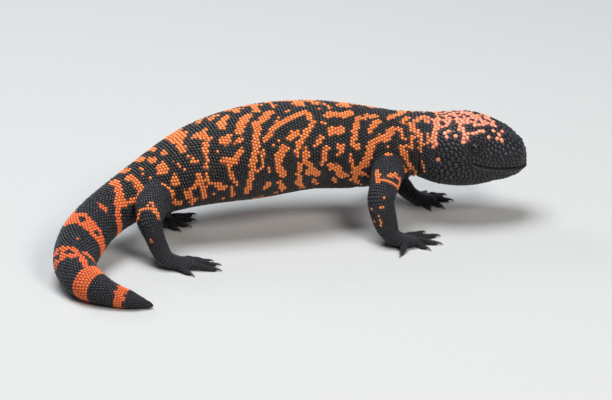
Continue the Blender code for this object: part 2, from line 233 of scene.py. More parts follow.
# Swells and hollows of the head: distance from the snout tip, degrees from the crown, length along the head,
# spread round it in degrees, and height.
HEAD_RELIEF = {
    "brow": (41.6, 52.0, 10.0, 11.0, 1.5),
    "eye hollow": (42.6, 75.0, 6.5, 10.0, -1.1),
    "snout hollow": (24.6, 66.0, 10.0, 13.0, -0.7),
    "temple": (61.6, 72.0, 12.0, 20.0, 0.7),
    "jowl": (59.6, 118.0, 13.0, 24.0, 0.9),
    "ear hollow": (71.2, 88.0, 4.0, 16.0, -0.8),
}
# Distance behind the snout tip and height above the floor, from the front to the corner of the mouth.
MOUTH_LINE = ((-6.0, 44.3), (2.0, 44.5), (10.0, 44.8), (22.0, 46.4), (34.0, 49.2), (41.0, 51.8))
# Distance from the snout tip and degrees from the crown of the openings.
EYE_AT = (42.0, 72.0)
EAR_AT = (71.2, 88.0)
NOSTRIL_AT = (10.8, 52.0)


@dataclass(frozen=True)
class Body(Run):
    """The body from the snout to the end of the tail, as superellipse sections square to the spine."""

    stations: dict[str, tuple[float, ...]] = field(default_factory=lambda: BODY_STATIONS)

    def points(self, at: Array, degrees: Array, swell: float | Array = 0.0) -> Array:
        """Points of the surface: signed powers of sine and cosine scaled to each section, with the relief.

        Args:
            at: distances from the snout tip, one for each row.
            degrees: angles from the crown, one row or one for each distance; plus is the left side.
            swell: how far the surface is moved out, for all or for each point.

        Returns:
            Points, by row and angle.
        """
        degrees = np.broadcast_to(degrees, (len(at), np.shape(degrees)[-1]))
        middle, along, sizes = self.sections(at)
        rise_axis = unit(UP - along * along[:, 2:3])
        left_axis = np.cross(along, rise_axis)
        width, rise, depth, square = sizes.T[:, :, None]
        angle = np.radians(degrees)
        across = np.sign(np.sin(angle)) * np.abs(np.sin(angle)) ** (2 / square)
        upward = np.sign(np.cos(angle)) * np.abs(np.cos(angle)) ** (2 / square)
        height = np.where(upward > 0, rise + swell, depth + swell) * upward
        lateral = (width + swell) * across
        bump = self.relief(at[:, None], degrees) / (np.hypot(lateral, height) + 1e-9)
        lateral = (lateral * (1 + bump))[..., None]
        height = (height * (1 + bump))[..., None]
        return middle[:, None] + left_axis[:, None] * lateral + rise_axis[:, None] * height

    def relief(self, distance: Array, degrees: Array) -> Array:
        """Height of the head's swells and hollows: bells in distance and in angle, the same on both sides.

        Args:
            distance: distances from the snout tip.
            degrees: angles from the crown.

        Returns:
            Heights, negative in the hollows.
        """
        height = np.zeros(np.broadcast(distance, degrees).shape)
        for place, angle, length, fan, rise in HEAD_RELIEF.values():
            height += rise * bell(distance, place, length) * bell(np.abs(degrees), angle, fan)
        return height

    def arcs(self, at: Array) -> tuple[Array, Array]:
        """Ways round the sections from the back's midline to the belly's.

        Args:
            at: distances from the snout tip.

        Returns:
            Angles in degrees, and for each distance the way round to each angle.
        """
        degrees = np.linspace(0.0, 180.0, 91)
        return degrees, ways_along(self.points(at, degrees))

    def drop_of(self, at: Array, degrees: Array) -> Array:
        """Drop of each angle of each section, plus on the right side.

        Args:
            at: distances from the snout tip, one for each row.
            degrees: angles by row.

        Returns:
            Drops by row.
        """
        fan, way = self.arcs(at)
        place = np.abs(degrees) / (fan[1] - fan[0])
        low = np.clip(place.astype(int), 0, len(fan) - 2)
        part = place - low
        rows = np.arange(len(at))[:, None]
        return -np.sign(degrees) * (way[rows, low] * (1 - part) + way[rows, low + 1] * part)

    def frame_at(self, place: Pair, side: Side) -> Frame:
        """A place on the surface with its ways out, back and up.

        Args:
            place: distance from the snout tip and angle from the crown.
            side: the side of the head.

        Returns:
            The point, and unit vectors out of it, back along the body and up the side.
        """
        distance, degrees, nudge = place[0], side.value * place[1], 0.5
        at = np.array([distance - nudge, distance, distance + nudge])
        points = self.points(at, np.array([degrees - nudge, degrees, degrees + nudge]))
        back = unit(points[2, 1] - points[0, 1])
        out = np.cross(points[1, 2] - points[1, 0], back)
        out *= np.sign(out @ (points[1, 1] - self.sections(at)[0][1]))
        out = unit(out)
        up = np.cross(out, back)
        return points[1, 1], out, back, up * np.sign(up[2])


@dataclass(frozen=True)
class Limb(Run):
    """A limb or digit, as elliptical sections that carry the back of the hand or foot upward."""

    name: str = ""

    def points(self, at: Array, sides: int, swell: float = 0.0) -> Array:
        """Points of the surface: the half width times sine to the left, the half height times cosine upward.

        Args:
            at: distances along the limb.
            sides: points in each ring.
            swell: how far the surface is moved out.

        Returns:
            Points, by ring and side.
        """
        middle, along, sizes = self.sections(at)
        up = UP
        ups = []
        for direction in along[::-1]:
            up = unit(up - direction * (direction @ up))
            ups.append(up)
        ups = np.array(ups[::-1])
        lefts = np.cross(ups, along)
        angle = circle(sides)[None, :, None]
        across = lefts[:, None] * (sizes[:, None, 0:1] + swell) * np.sin(angle)
        upward = ups[:, None] * (sizes[:, None, 1:2] + swell) * np.cos(angle)
        return middle[:, None] + across + upward

    def tube(self, stop: float, step: float, sides: int, depth: float, ends: Pair) -> "Sheet":
        """The skin as a closed tube from the first station, rounded at both ends.

        Args:
            stop: distance of the last ring.
            step: distance between rings.
            sides: points in each ring.
            depth: how far the skin lies inside the solids.
            ends: how far the two ends stand out.

        Returns:
            The closed sheet.
        """
        at = np.linspace(0.0, stop, round(stop / step))
        return tube_sheet(rounded_ends(self.points(at, sides, -depth), self.sections(at[[0, -1]])[1], ends))


RIGHT_ARM = {
    "root": (89.0, -3.0, 51.0, 12.0, 13.0),
    "shoulder": (85.5, -22.0, 48.0, 11.5, 12.5),
    "upper": (80.0, -33.0, 41.5, 10.0, 11.0),
    "elbow": (76.0, -39.5, 33.5, 9.8, 10.2),
    "forearm": (77.2, -43.5, 23.0, 10.0, 9.6),
    "low": (79.0, -46.5, 15.0, 9.4, 8.6),
    "wrist": (82.3, -49.0, 8.6, 8.8, 6.6),
    "palm": (89.0, -50.3, 5.0, 9.6, 5.4),
    "knuckles": (96.5, -49.3, 3.4, 9.4, 3.7),
    "palm end": (101.0, -48.5, 3.2, 6.0, 2.2),
}
LEFT_ARM = {
    "root": (90.0, 24.0, 51.0, 12.0, 13.0),
    "shoulder": (91.0, 43.0, 47.0, 11.5, 12.5),
    "upper": (94.0, 50.0, 40.0, 10.0, 10.8),
    "elbow": (99.5, 49.5, 31.0, 9.6, 9.6),
    "forearm": (107.0, 40.5, 21.5, 9.0, 8.6),
    "low": (113.5, 32.0, 14.0, 8.2, 7.0),
    "wrist": (118.5, 27.5, 8.6, 8.2, 5.8),
    "palm": (125.0, 27.3, 4.8, 9.4, 5.2),
    "knuckles": (132.0, 28.3, 3.4, 9.2, 3.7),
    "palm end": (136.5, 29.0, 3.2, 6.0, 2.2),
}
RIGHT_LEG = {
    "root": (-88.0, 0.0, 43.0, 13.5, 14.5),
    "hip": (-93.0, -17.0, 41.5, 13.0, 14.0),
    "thigh": (-97.5, -28.0, 38.0, 11.4, 12.0),
    "knee": (-99.5, -36.0, 31.5, 9.2, 9.4),
    "shank": (-97.2, -41.0, 22.5, 7.4, 7.6),
    "low": (-94.5, -45.5, 14.5, 6.9, 7.0),
    "ankle": (-91.0, -49.0, 8.2, 7.2, 6.2),
    "sole": (-83.5, -51.0, 4.6, 8.4, 5.0),
    "ball": (-74.5, -52.5, 3.3, 9.0, 3.6),
    "sole end": (-70.0, -53.5, 3.2, 6.0, 2.2),
}
LEFT_LEG = {
    "root": (-88.0, 15.0, 43.0, 13.5, 14.5),
    "hip": (-86.5, 32.0, 41.5, 13.0, 14.0),
    "thigh": (-83.0, 41.0, 38.0, 11.4, 12.0),
    "knee": (-81.5, 44.0, 31.0, 9.2, 9.4),
    "shank": (-84.0, 40.5, 22.5, 7.4, 7.6),
    "low": (-86.5, 35.5, 14.8, 6.8, 6.8),
    "ankle": (-85.8, 31.0, 8.6, 6.6, 5.8),
    "sole": (-79.0, 31.0, 4.6, 8.0, 4.9),
    "ball": (-71.8, 33.5, 3.3, 8.8, 3.6),
    "sole end": (-67.8, 35.5, 3.2, 6.0, 2.2),
}
RIGHT_FINGERS = ((114.5, -29.5), (123.5, -39.5), (120.5, -56.5), (108.5, -65.5), (81.5, -73.0))
LEFT_FINGERS = ((129.5, 8.5), (141.5, 11.5), (153.0, 26.0), (151.0, 39.5), (138.5, 49.5))
RIGHT_TOES = ((-61.5, -38.5), (-53.5, -45.5), (-49.5, -55.0), (-51.5, -65.5), (-73.5, -71.5))
LEFT_TOES = ((-65.0, 14.5), (-55.0, 22.5), (-48.5, 34.5), (-46.5, 47.0), (-63.0, 56.5))


@dataclass(frozen=True)
class Extremity:
    """A limb with its hand or foot: the digits and their claws."""

    limb: Limb
    tips: Rows  # of the claws on the floor, inner digit first
    ball: str  # the station that the digits grow from
    side: Side
    hand: str  # the end's node name without its side
    nodes: tuple[str, ...]  # flesh that the limb stands for
    # Of the digits, outward and forward of the ball.
    roots: Rows = ((-7.2, -4.0), (-4.4, 1.0), (0.0, 2.5), (4.4, 1.0), (6.6, -7.0))
    digit_radius: float = 2.45
    taper: tuple[float, ...] = (1.0, 1.0, 0.86, 0.72, 0.12)  # radii of a digit's stations, as shares
    shares: tuple[float, ...] = (0.0, 0.38, 0.75, 1.0)  # places of the stations up to the claw
    arch: float = 0.9  # rise of the knuckle over the floor
    flat: float = 0.35  # how far the pads lie below the floor, which cuts them off
    claw_length: float = 5.2
    claw_radius: float = 1.15

    def digits(self) -> list[Limb]:
        """The digits from inside the palm to their claws' tips, arched over the knuckle.

        Returns:
            One run of stations for each digit: root, knuckle, joint, claw and point.
        """
        stations = self.limb.stations
        middle = np.array(stations[self.ball][:3])
        forward = unit((np.array(list(stations.values())[-1][:3]) - middle) * (1, 1, 0))
        outer = np.array([-forward[1], forward[0], 0.0]) * self.side.value
        radii = np.array(self.taper) * self.digit_radius
        names = ("root", "knuckle", "joint", "claw", "point")
        runs = []
        for number, (tip, (across, along)) in enumerate(zip(self.tips, self.roots), start=1):
            root = middle + outer * across + forward * along + np.array([0.0, 0.0, -0.2])
            reach = np.hypot(*(np.array(tip) - root[:2]))
            claw = 1.0 - self.claw_length / reach
            heights = (root[2], radii[1] + self.arch, radii[2] - self.flat, radii[3] - self.flat, radii[4])
            shares = [share * claw for share in self.shares] + [1.0]
            run = {
                name: (*(root[:2] + share * (np.array(tip) - root[:2])), height, radius, radius)
                for name, share, height, radius in zip(names, shares, heights, radii)
            }
            runs.append(Limb(run, name=f"{self.hand}_{self.side.name.lower()}_{number}"))
        return runs


def extremities() -> list[Extremity]:
    """The four limbs with their hands and feet.

    Returns:
        Right arm, left arm, right leg and left leg.
    """
    made = []
    for kind, hand, flesh, ball, ends in (
        ("arm", "hand", ("upper_arm", "forearm", "hand"), "knuckles",
         ((Side.RIGHT, RIGHT_ARM, RIGHT_FINGERS), (Side.LEFT, LEFT_ARM, LEFT_FINGERS))),
        ("leg", "foot", ("thigh", "shank", "foot"), "ball",
         ((Side.RIGHT, RIGHT_LEG, RIGHT_TOES), (Side.LEFT, LEFT_LEG, LEFT_TOES))),
    ):
        for side, stations, tips in ends:
            word = side.name.lower()
            limb = Limb(stations, name=f"{kind}_{word}")
            made.append(Extremity(limb, tips, ball, side, hand, tuple(f"{name}_{word}" for name in flesh)))
    return made


# The light markings, each a band through places on the hide: its width, then distances from the snout tip and
# drops in pairs. A band of one place is a round spot of that width.
HEAD_BANDS = (
    (5, 69.4, 3.3, 74, 7, 74.5, 13, 74, 19), (4.5, 74, 19, 74, 26, 73, 33), (4, 65, 7, 69, 5),
    (3, 76, 6, 79, 9), (3, 75, -10, 75, -18), (3.5, 63, 15, 71, 16), (4.4, 60.5, 21.7, 65.5, 22.4),
    (3.6, 63.8, 27.4), (3.8, 56.8, 26.4), (4.8, 54, 19.3, 51.2, 22.2, 49.8, 26.9),
    (4, 51.9, 30.6, 48.4, 29.9), (4.5, 43.5, 15, 35, 9, 31, 2, 29.5, 7), (4, 40, 13.3),
    (4.4, 43.5, 22.8, 40, 20.5, 37.9, 19.1), (3, 33, 23.3), (2.8, 27.4, 20.3), (2.6, 23.9, 19.8),
    (3, 30.2, 14.5), (2.8, 26, 15.3), (2.8, 24.6, 10.1), (1.8, 71, 38, 68, 45),
)
# Light fields of the crown, as ovals: distance and drop of the middle, half length and half spread.
HEAD_FIELDS = ((53.0, -8.5, 22.5, 16.0), (52.0, 3.0, 23.5, 13.5))
# Dark spots in the light of the crown, written as the bands are.
HEAD_DARKS = (
    (3, 75.7, -2.4), (3.6, 71.5, -2.6), (3, 65.9, -3.7), (3, 62.4, 1.2), (3.2, 54.7, -3.8),
    (3.4, 50.5, -0.2), (2.6, 52.6, 5.3), (3.6, 44.2, -5.3, 41.4, -4.4), (2.8, 36.5, -7.2),
    (3.2, 57.5, 9.4, 54, 9.3), (4.4, 70.1, 11.7, 67.3, 12.7), (3.2, 60.3, 12.9), (2.8, 45.6, 7.6),
    (3, 42.8, 8.9, 40.7, 8.8), (3, 33, 3), (2.8, 56.8, 15.6), (3.8, 47, 15.8, 47, 18.9, 46.3, 22.5),
    (3.2, 61.7, 18.7), (3.6, 67.3, 19.6), (2.8, 33, 10.7), (3.4, 58, 22.3), (4, 70.8, 22.5),
    (3.4, 69.4, 27.2), (3.6, 61.7, 28.1), (2.6, 54, 26.4), (3.4, 35.8, 15.3), (3, 35.8, 22.2), (3, 66, -12),
    (3, 58, -14), (3, 49, -11), (3, 40, -14), (3, 62, -7.5), (3, 70, -9), (3, 46, -16), (3, 54, -22),
    (3, 63, -19), (2.8, 37, 3), (2.8, 58, 4.5), (2.8, 68, 4),
)
NECK_BANDS = (
    (2.5, 80.5, 2, 80, 12), (3, 82, 0, 86, 11), (4, 90, 13, 88, 19), (4, 91, 5, 94, 13),
    (5, 93, -4, 99, 4, 106, 9), (4, 86, 21, 84, 25, 83, 31), (2, 79.5, 22, 78, 34), (3.5, 97, 20, 95, 26),
    (3, 89, 25, 90, 35), (3, 94, 33, 97, 38), (5, 97, 35, 95, 42, 92, 50, 87, 58, 84, 72),
    (2, 84, 35, 80, 49, 75, 60), (4.5, 114, 15, 119, 18, 122, 26),
    (6, 102, 20, 106, 23, 109, 28, 117, 31, 122, 37, 124, 45, 127, 52, 133, 58), (2.6, 108, 35),
    (5, 108, 41, 103, 46, 96, 54),
)
TRUNK_BANDS = (
    (7, 118.5, -8, 118.5, -24), (10, 142, -18, 142, -3), (4, 148, 0), (6, 163, -18, 163, -2),
    (9, 174, -18, 174, -1), (5, 192, -18, 192, 1), (6, 205, -18, 205, 3), (3.5, 158, -2, 155, 6),
    (4, 185, 10), (3, 163, 7), (7, 157, 16, 151, 13), (7, 147, 15, 140, 11), (7, 197, 9, 202, 14, 210, 21),
    (5, 170, 19, 172, 12, 178, 15, 185, 20, 192, 23, 198, 28, 206, 35), (4, 193, 18, 196, 24),
    (2.4, 197, 37), (5, 167.5, 23.5, 173, 31, 177, 36, 182, 44, 184, 49), (6, 188, 37, 182, 33),
    (6, 176, 46, 177, 55, 172, 60, 166, 67), (5, 182, 58, 183, 70, 178, 82), (4, 161, 24),
    (7, 156, 31, 149, 29), (4.5, 168, 42, 163, 37), (5, 159.5, 45, 162, 49, 162, 56),
    (4.6, 150.5, 42, 147, 42, 149, 47), (7, 155, 58, 149, 60, 145, 66),
    (5.5, 117, 9, 122, 11, 128, 14, 133, 15, 135, 21, 137, 29, 138, 39, 133, 40),
    (4, 140, 47, 138, 55, 134, 60), (10, 133, 60), (5, 125, 62, 133, 60, 135, 70),
    (7, 193, 44, 198, 50, 200, 57, 197, 65), (2.2, 201.5, 42), (4, 207, 59), (5, 200, 72, 196, 80),
    (4.5, 250, 57.7), (3.5, 240, 66.5, 239.5, 74), (4.5, 227, 69.6, 227.6, 77), (4.5, 212, 75, 208, 71),
    (4.5, 215, 89), (5, 197.5, 78, 195.5, 82), (3.5, 201, 86.5), (4, 184, 71.5, 180.7, 83),
    (4.5, 169, 71.6, 164, 82), (3.5, 248, 75), (5, 148, 73.5, 151, 71), (5, 130, 75, 136.6, 68.6),
    (4.5, 174.4, 65), (4.5, 142, 64.5), (4.5, 288, 49.5), (4.5, 276.6, 52, 275, 62), (4, 166, 93),
    (4, 186, 95), (4, 151, 90), (4.5, 232, 90), (4.5, 249, 88),
)
LOIN_BANDS = (
    (8, 214, 8, 219, 14, 224, 22),
    (6, 200, 15, 208, 20, 211, 25, 213.5, 32, 217, 44, 221, 51, 222, 58, 225, 66, 227, 73),
    (3.5, 211, 44, 213, 55, 217, 58), (6, 218, -18, 218, -4), (6, 237, -18, 237, -5),
    (7, 228, 0, 232, 5, 235, 12), (11, 236, 26), (4.5, 229, 31, 224, 30), (2.4, 245.5, 32),
    (6, 243, 41, 236, 45, 228, 39), (4, 240, 47, 241, 51, 238, 57, 236, 62), (3.5, 241, 64, 240, 74),
    (5.5, 253, 56, 247, 61), (2.8, 253, 46), (5, 254, 8, 250, 12, 247, 18), (4, 246, 6, 250, 12),
    (5, 251, 20, 254, 29, 257, 39), (13, 263, -14, 263, 0), (7, 263, 0, 265, 8), (8, 266, 14),
    (3, 266, 23, 264, 27, 262, 31), (2, 277, 18), (2, 275, 22), (2, 274, 25.5), (2, 274, 30),
    (6, 265, 40, 264, 50, 264, 60), (4, 259, 44, 258, 51), (3, 257, 62), (4, 279, 44, 272, 46, 266, 43),
    (3.5, 277, 48, 272, 59), (8, 277, 48), (11, 288, 16), (5.5, 298, 27, 293, 33, 290, 39), (9, 283.5, 31),
    (5, 290, 46, 285, 51), (2.4, 301, 17), (2.6, 303.5, 9), (6.5, 312, 3, 312, 17), (9, 316, 23),
    (2, 300.5, 0, 300.5, 6), (8, 289, 3), (6, 279, 5), (6, 308, -24, 308, -6), (7, 294, -24, 294, -6),
    (6, 281, -24, 281, -6), (13, 263, -24, 263, -10),
)
TAIL_BANDS = (
    (6, 321, -5, 324, 4, 330, 11, 336, 16, 342, 20, 345, 26, 346, 33, 345, 48),
    (5, 332, 18, 324, 20, 316, 23, 312, 19), (2.5, 346, 3, 349, 7, 349, 11, 352, 14),
    (8, 338, -44, 342, -33), (11, 342, -33, 355, -25), (14, 355, -25, 368.5, -12, 370, 0, 376.5, 15),
    (10, 377, 17, 378, 30, 374, 44), (3.4, 392, 3),
    (5, 392, -44, 400, -35, 404, -28, 407, -20, 411, -8, 415, -2),
    (4.4, 389, -38, 393, -30, 399, -18, 400, -10, 404, -6, 406, 0), (6, 405, -11),
    (5, 408, 0, 418, 1, 428, 0), (6, 412, 8, 414, 20, 410, 34), (10, 435, -44, 435, 44),
    (7, 460.5, -30, 461, 30),
)
TAIL_DARKS = ((6, 370, 1), (5, 376, 16), (2.5, 346, -33, 353, -30))
# The body's distance at which the markings' own count starts.
MARKS_START = -0.3
# Light markings of the limbs: widths, then places in the animal's own frame.
LIMB_BANDS = (
    (3.2, (73.9, -35.6, 49.0), (79.4, -38.2, 49.9), (83.6, -39.8, 48.1), (87.6, -39.6, 45.2),
     (90.0, -38.0, 42.0)),
    (3.2, (83.2, -35.6, 52.1), (87.1, -35.5, 51.3), (91.3, -34.5, 48.9), (93.0, -34.0, 45.0),
     (90.5, -37.5, 42.0)),
    (4.0, (75.1, -28.5, 52.6), (75.1, -34.1, 50.7)), (1.8, (67.7, -45.1, 30.0), (68.0, -46.7, 27.4)),
    (1.8, (68.7, -47.4, 21.1), (70.3, -49.8, 18.7)), (1.8, (72.7, -52.4, 21.9), (71.9, -51.2, 25.5)),
    (2.0, (73.7, -49.8, 32.8)), (2.0, (76.3, -47.4, 38.9)), (2.0, (78.3, -45.3, 41.9)),
    (2.0, (72.7, -52.7, 18.8)),
    (2.6, (-107.0, -22.0, 27.0), (-108.2, -30.0, 31.0), (-108.2, -34.9, 36.1), (-106.5, -34.1, 41.2),
     (-103.0, -35.6, 44.2), (-99.5, -37.2, 44.5), (-96.9, -38.9, 42.1), (-94.0, -40.5, 38.0)),
    (2.6, (-97.8, -34.6, 46.9), (-95.9, -37.7, 43.6), (-93.6, -40.4, 37.6)), (2.2, (-99.7, -46.1, 29.4)),
    (2.2, (-101.2, -47.2, 22.0)), (3.2, (84.0, 48.0, 53.0), (91.0, 54.0, 50.0), (99.0, 56.0, 44.0)),
    (3.0, (104.0, 55.0, 37.0), (110.0, 50.0, 31.0)), (2.0, (114.0, 44.0, 24.0)),
    (2.8, (-92.0, 44.0, 47.0), (-85.0, 51.0, 43.0), (-78.0, 52.0, 38.0)),
    (2.4, (-76.0, 52.0, 30.0), (-78.0, 49.0, 24.0)),
)


def band_distance(places: Array, bands: tuple) -> Array:
    """How far places are outside the nearest of some bands.

    Each band is widened lines between its points: the distance to a line less half the width.

    Args:
        places: places of two or three numbers.
        bands: bands as flat pairs after the width, or as points after the width.

    Returns:
        One distance for each place, negative inside a band.
    """
    nearest = np.full(len(places), 1e3)
    for width, *rest in bands:
        points = np.array(rest, dtype=float).reshape(-1, places.shape[1])
        ends = np.roll(points, -1, axis=0)[:-1] if len(points) > 1 else points
        for start, end in zip(points, ends):
            way = end - start
            share = np.clip((places - start) @ way / (way @ way + 1e-9), 0.0, 1.0)
            reach = np.linalg.norm(places - start - share[:, None] * way, axis=1)
            nearest = np.minimum(nearest, reach - width / 2)
    return nearest


@dataclass(frozen=True)
class Markings:
    """The black and orange pattern, as how far a place lies outside the light bands."""

    flank_end: float = 90.0  # drop where the pattern breaks up into the belly's mottling
    flank_fade: float = 8.0  # how far each way that takes
    far_start: float = -7.0  # drop from which the trunk's left side has the right side's pattern, warped
    loin_far_start: float = -24.0  # the same on the loin
    loin_start: float = 255.0  # distances where the loin and the tail start and the head ends
    tail_start: float = 320.0
    head_end: float = 78.0
    mirror_start: float = -14.0  # drop from which the head's left side mirrors its right
    dark_start: float = -9.0  # the same for its dark spots
    thinner: float = 0.2  # trimmed off each edge of the trunk's bands
    belly: Triple = (0.5, 3.5, 9.0)  # mean, strength and blotch width of the mottling

    def on_body(self, distance: Array, drop: Array, points: Array) -> Array:
        """Signed distance outside the light markings of the head, trunk and tail.

        The sides that the photo doesn't show take the right side's pattern, warped by sines or mirrored.

        Args:
            distance: distances from the snout tip.
            drop: drops from the back's midline.
            points: the same places in the animal's frame.

        Returns:
            Distances in millimetres, negative where the hide is light.
        """
        s = distance - MARKS_START
        here = np.stack([s, drop], -1)
        warped = s + 5.0 * np.sin(s / 19.0) + 3.0, -drop * 0.94 + 2.5 * np.sin(s / 13.0) + 3.0
        trunk = NECK_BANDS + TRUNK_BANDS + LOIN_BANDS
        near = band_distance(here, trunk) + self.thinner
        far = band_distance(np.stack(warped, -1), trunk) + self.thinner
        left = (drop < self.far_start) & (s > self.head_end) & (s < self.loin_start)
        value = np.where(left, np.minimum(far, near + 2.0), near)
        left = (drop < self.loin_far_start) & (s >= self.loin_start) & (s < self.tail_start)
        value = np.where(left, far, value)
        head = np.minimum(self.on_head(s, drop), value + 40.0 * (s < self.head_end - 2))
        value = np.where(s < self.head_end + 2, head, value)
        tail = np.maximum(band_distance(here, TAIL_BANDS), -band_distance(here, TAIL_DARKS))
        value = np.minimum(value, tail)
        middle, strength, size = self.belly
        share = smooth_step(self.flank_end - self.flank_fade, self.flank_end + self.flank_fade, np.abs(drop))
        share *= (s > self.head_end + 6) * (s < self.tail_start - 5)
        return value * (1 - share) + (middle + strength * mottle(points, size)) * share

    def on_head(self, s: Array, drop: Array) -> Array:
        """Signed distance outside the head's light markings: bands and fields, less the dark spots.

        Args:
            s: the markings' distances.
            drop: drops from the crown's midline.

        Returns:
            Distances in millimetres, negative where the hide is light.
        """
        here = np.stack([s, drop], -1)
        head = band_distance(here, HEAD_BANDS)
        for middle, across, half_length, half_drop in HEAD_FIELDS:
            reach = np.hypot((s - middle) / half_length, (drop - across) / half_drop)
            head = np.minimum(head, (reach - 1.0) * half_drop)
        mirror = np.stack([s, -drop - 2.0], -1)
        head = np.where(drop < self.mirror_start, np.minimum(head, band_distance(mirror, HEAD_BANDS)), head)
        darks = np.where(drop < self.dark_start, band_distance(mirror, HEAD_DARKS), 9.0)
        return np.maximum(head, -np.minimum(darks, band_distance(here, HEAD_DARKS)))

    def on_limb(self, points: Array) -> Array:
        """Signed distance outside the light markings of the limbs, for places in the animal's frame."""
        return band_distance(points, LIMB_BANDS)

    def outside(self, region: Array, distance: Array, drop: Array, points: Array) -> Array:
        """Signed distance outside the light markings, for places of all parts.

        Args:
            region: number of each place's part: 0 is the body and 1 to 4 the limbs.
            distance: distances along the part.
            drop: ways round the part.
            points: the same places in the animal's frame.

        Returns:
            Distances in millimetres, negative where the hide is light.
        """
        value = self.on_limb(points)
        body = region == 0
        value[body] = self.on_body(distance[body], drop[body], points[body])
        return value


class Value:
    """A shader socket's output that takes part in Python expressions."""

    def __init__(self, tree: "Shader", socket: Any) -> None:
        """Wrap a socket of a tree."""
        self.tree = tree
        self.socket = socket

    def _math(self, operation: str, first: Any, second: Any) -> "Value":
        """Add a Math node."""
        return self.tree.node("ShaderNodeMath", {"operation": operation}, {0: first, 1: second})

    def __add__(self, other: Any) -> "Value":
        """Sum."""
        return self._math("ADD", self, other)

    def __radd__(self, other: Any) -> "Value":
        """Reflected sum."""
        return self._math("ADD", other, self)

    def __sub__(self, other: Any) -> "Value":
        """Difference."""
        return self._math("SUBTRACT", self, other)

    def __rsub__(self, other: Any) -> "Value":
        """Reflected difference."""
        return self._math("SUBTRACT", other, self)

    def __mul__(self, other: Any) -> "Value":
        """Product."""
        return self._math("MULTIPLY", self, other)

    def __rmul__(self, other: Any) -> "Value":
        """Reflected product."""
        return self._math("MULTIPLY", other, self)

    def __truediv__(self, other: Any) -> "Value":
        """Quotient."""
        return self._math("DIVIDE", self, other)

    def step(self, low: float, high: float) -> "Value":
        """A smooth rise from 0 at low to 1 at high."""
        inputs = {"Value": self, "From Min": low, "From Max": high}
        return self.tree.node("ShaderNodeMapRange", {"interpolation_type": "SMOOTHSTEP"}, inputs)


class Shader:
    """A material's node tree with one Principled BSDF."""

    def __init__(self, name: str) -> None:
        """Start a material.

        Args:
            name: its name.
        """
        self.material = bpy.data.materials.new(name)
        self.material.use_nodes = True
        self.tree = self.material.node_tree
        self.surface = self.tree.nodes["Principled BSDF"]

    def node(self, kind: str, settings: dict[str, Any], inputs: dict[Any, Any], output: Any = 0) -> Value:
        """Add a node.

        Args:
            kind: the node's type.
            settings: its properties, set first.
            inputs: values or links by socket name or number.
            output: the output to return.

        Returns:
            That output, wrapped.
        """
        made = self.tree.nodes.new(kind)
        for name, value in settings.items():
            setattr(made, name, value)
        for name, value in inputs.items():
            self.feed(made.inputs[name], value)
        return Value(self, made.outputs[output])

    def feed(self, socket: Any, value: Any) -> None:
        """Link a value to a socket, or set a constant on it.

        Args:
            socket: the input socket.
            value: a wrapped output, or a constant.
        """
        if isinstance(value, Value):
            self.tree.links.new(value.socket, socket)
        else:
            socket.default_value = value

    def attribute(self, name: str) -> Value:
        """A number stored on the mesh."""
        return self.node("ShaderNodeAttribute", {"attribute_name": name}, {}, "Fac")

    def place(self) -> Value:
        """Object coordinates."""
        return self.node("ShaderNodeTexCoord", {}, {}, "Object")

    def noise(self, scale: float, detail: float = 3.0, roughness: float = 0.5) -> Value:
        """Noise on object coordinates.

        Args:
            scale: about how many features there are in a metre.
            detail: how many finer layers are added.
            roughness: how strong each finer layer is.

        Returns:
            The noise, from 0 to 1.
        """
        inputs = {"Vector": self.place(), "Scale": scale, "Detail": detail, "Roughness": roughness}
        return self.node("ShaderNodeTexNoise", {}, inputs, "Fac")

    def mix(self, share: Any, first: Any, second: Any) -> Value:
        """Mix two colours by a share: the node's colour sockets are its inputs 6 and 7 and its output 2."""
        return self.node("ShaderNodeMix", {"data_type": "RGBA"}, {0: share, 6: first, 7: second}, 2)

    def bump(self, height: Value, distance: float, strength: float) -> Value:
        """A normal from a height, whose whole range is a distance in metres."""
        inputs = {"Height": height, "Distance": distance, "Strength": strength}
        return self.node("ShaderNodeBump", {}, inputs, "Normal")

    def finish(self, **inputs: Any) -> bpy.types.Material:
        """Set the surface's inputs.

        Args:
            inputs: values or links by the input's name, with underscores for spaces.

        Returns:
            The material.
        """
        for name, value in inputs.items():
            self.feed(self.surface.inputs[name.replace("_", " ")], value)
        return self.material


def paint(red: float, green: float, blue: float) -> tuple[float, float, float, float]:
    """A linear colour with full alpha."""
    return (red, green, blue, 1.0)


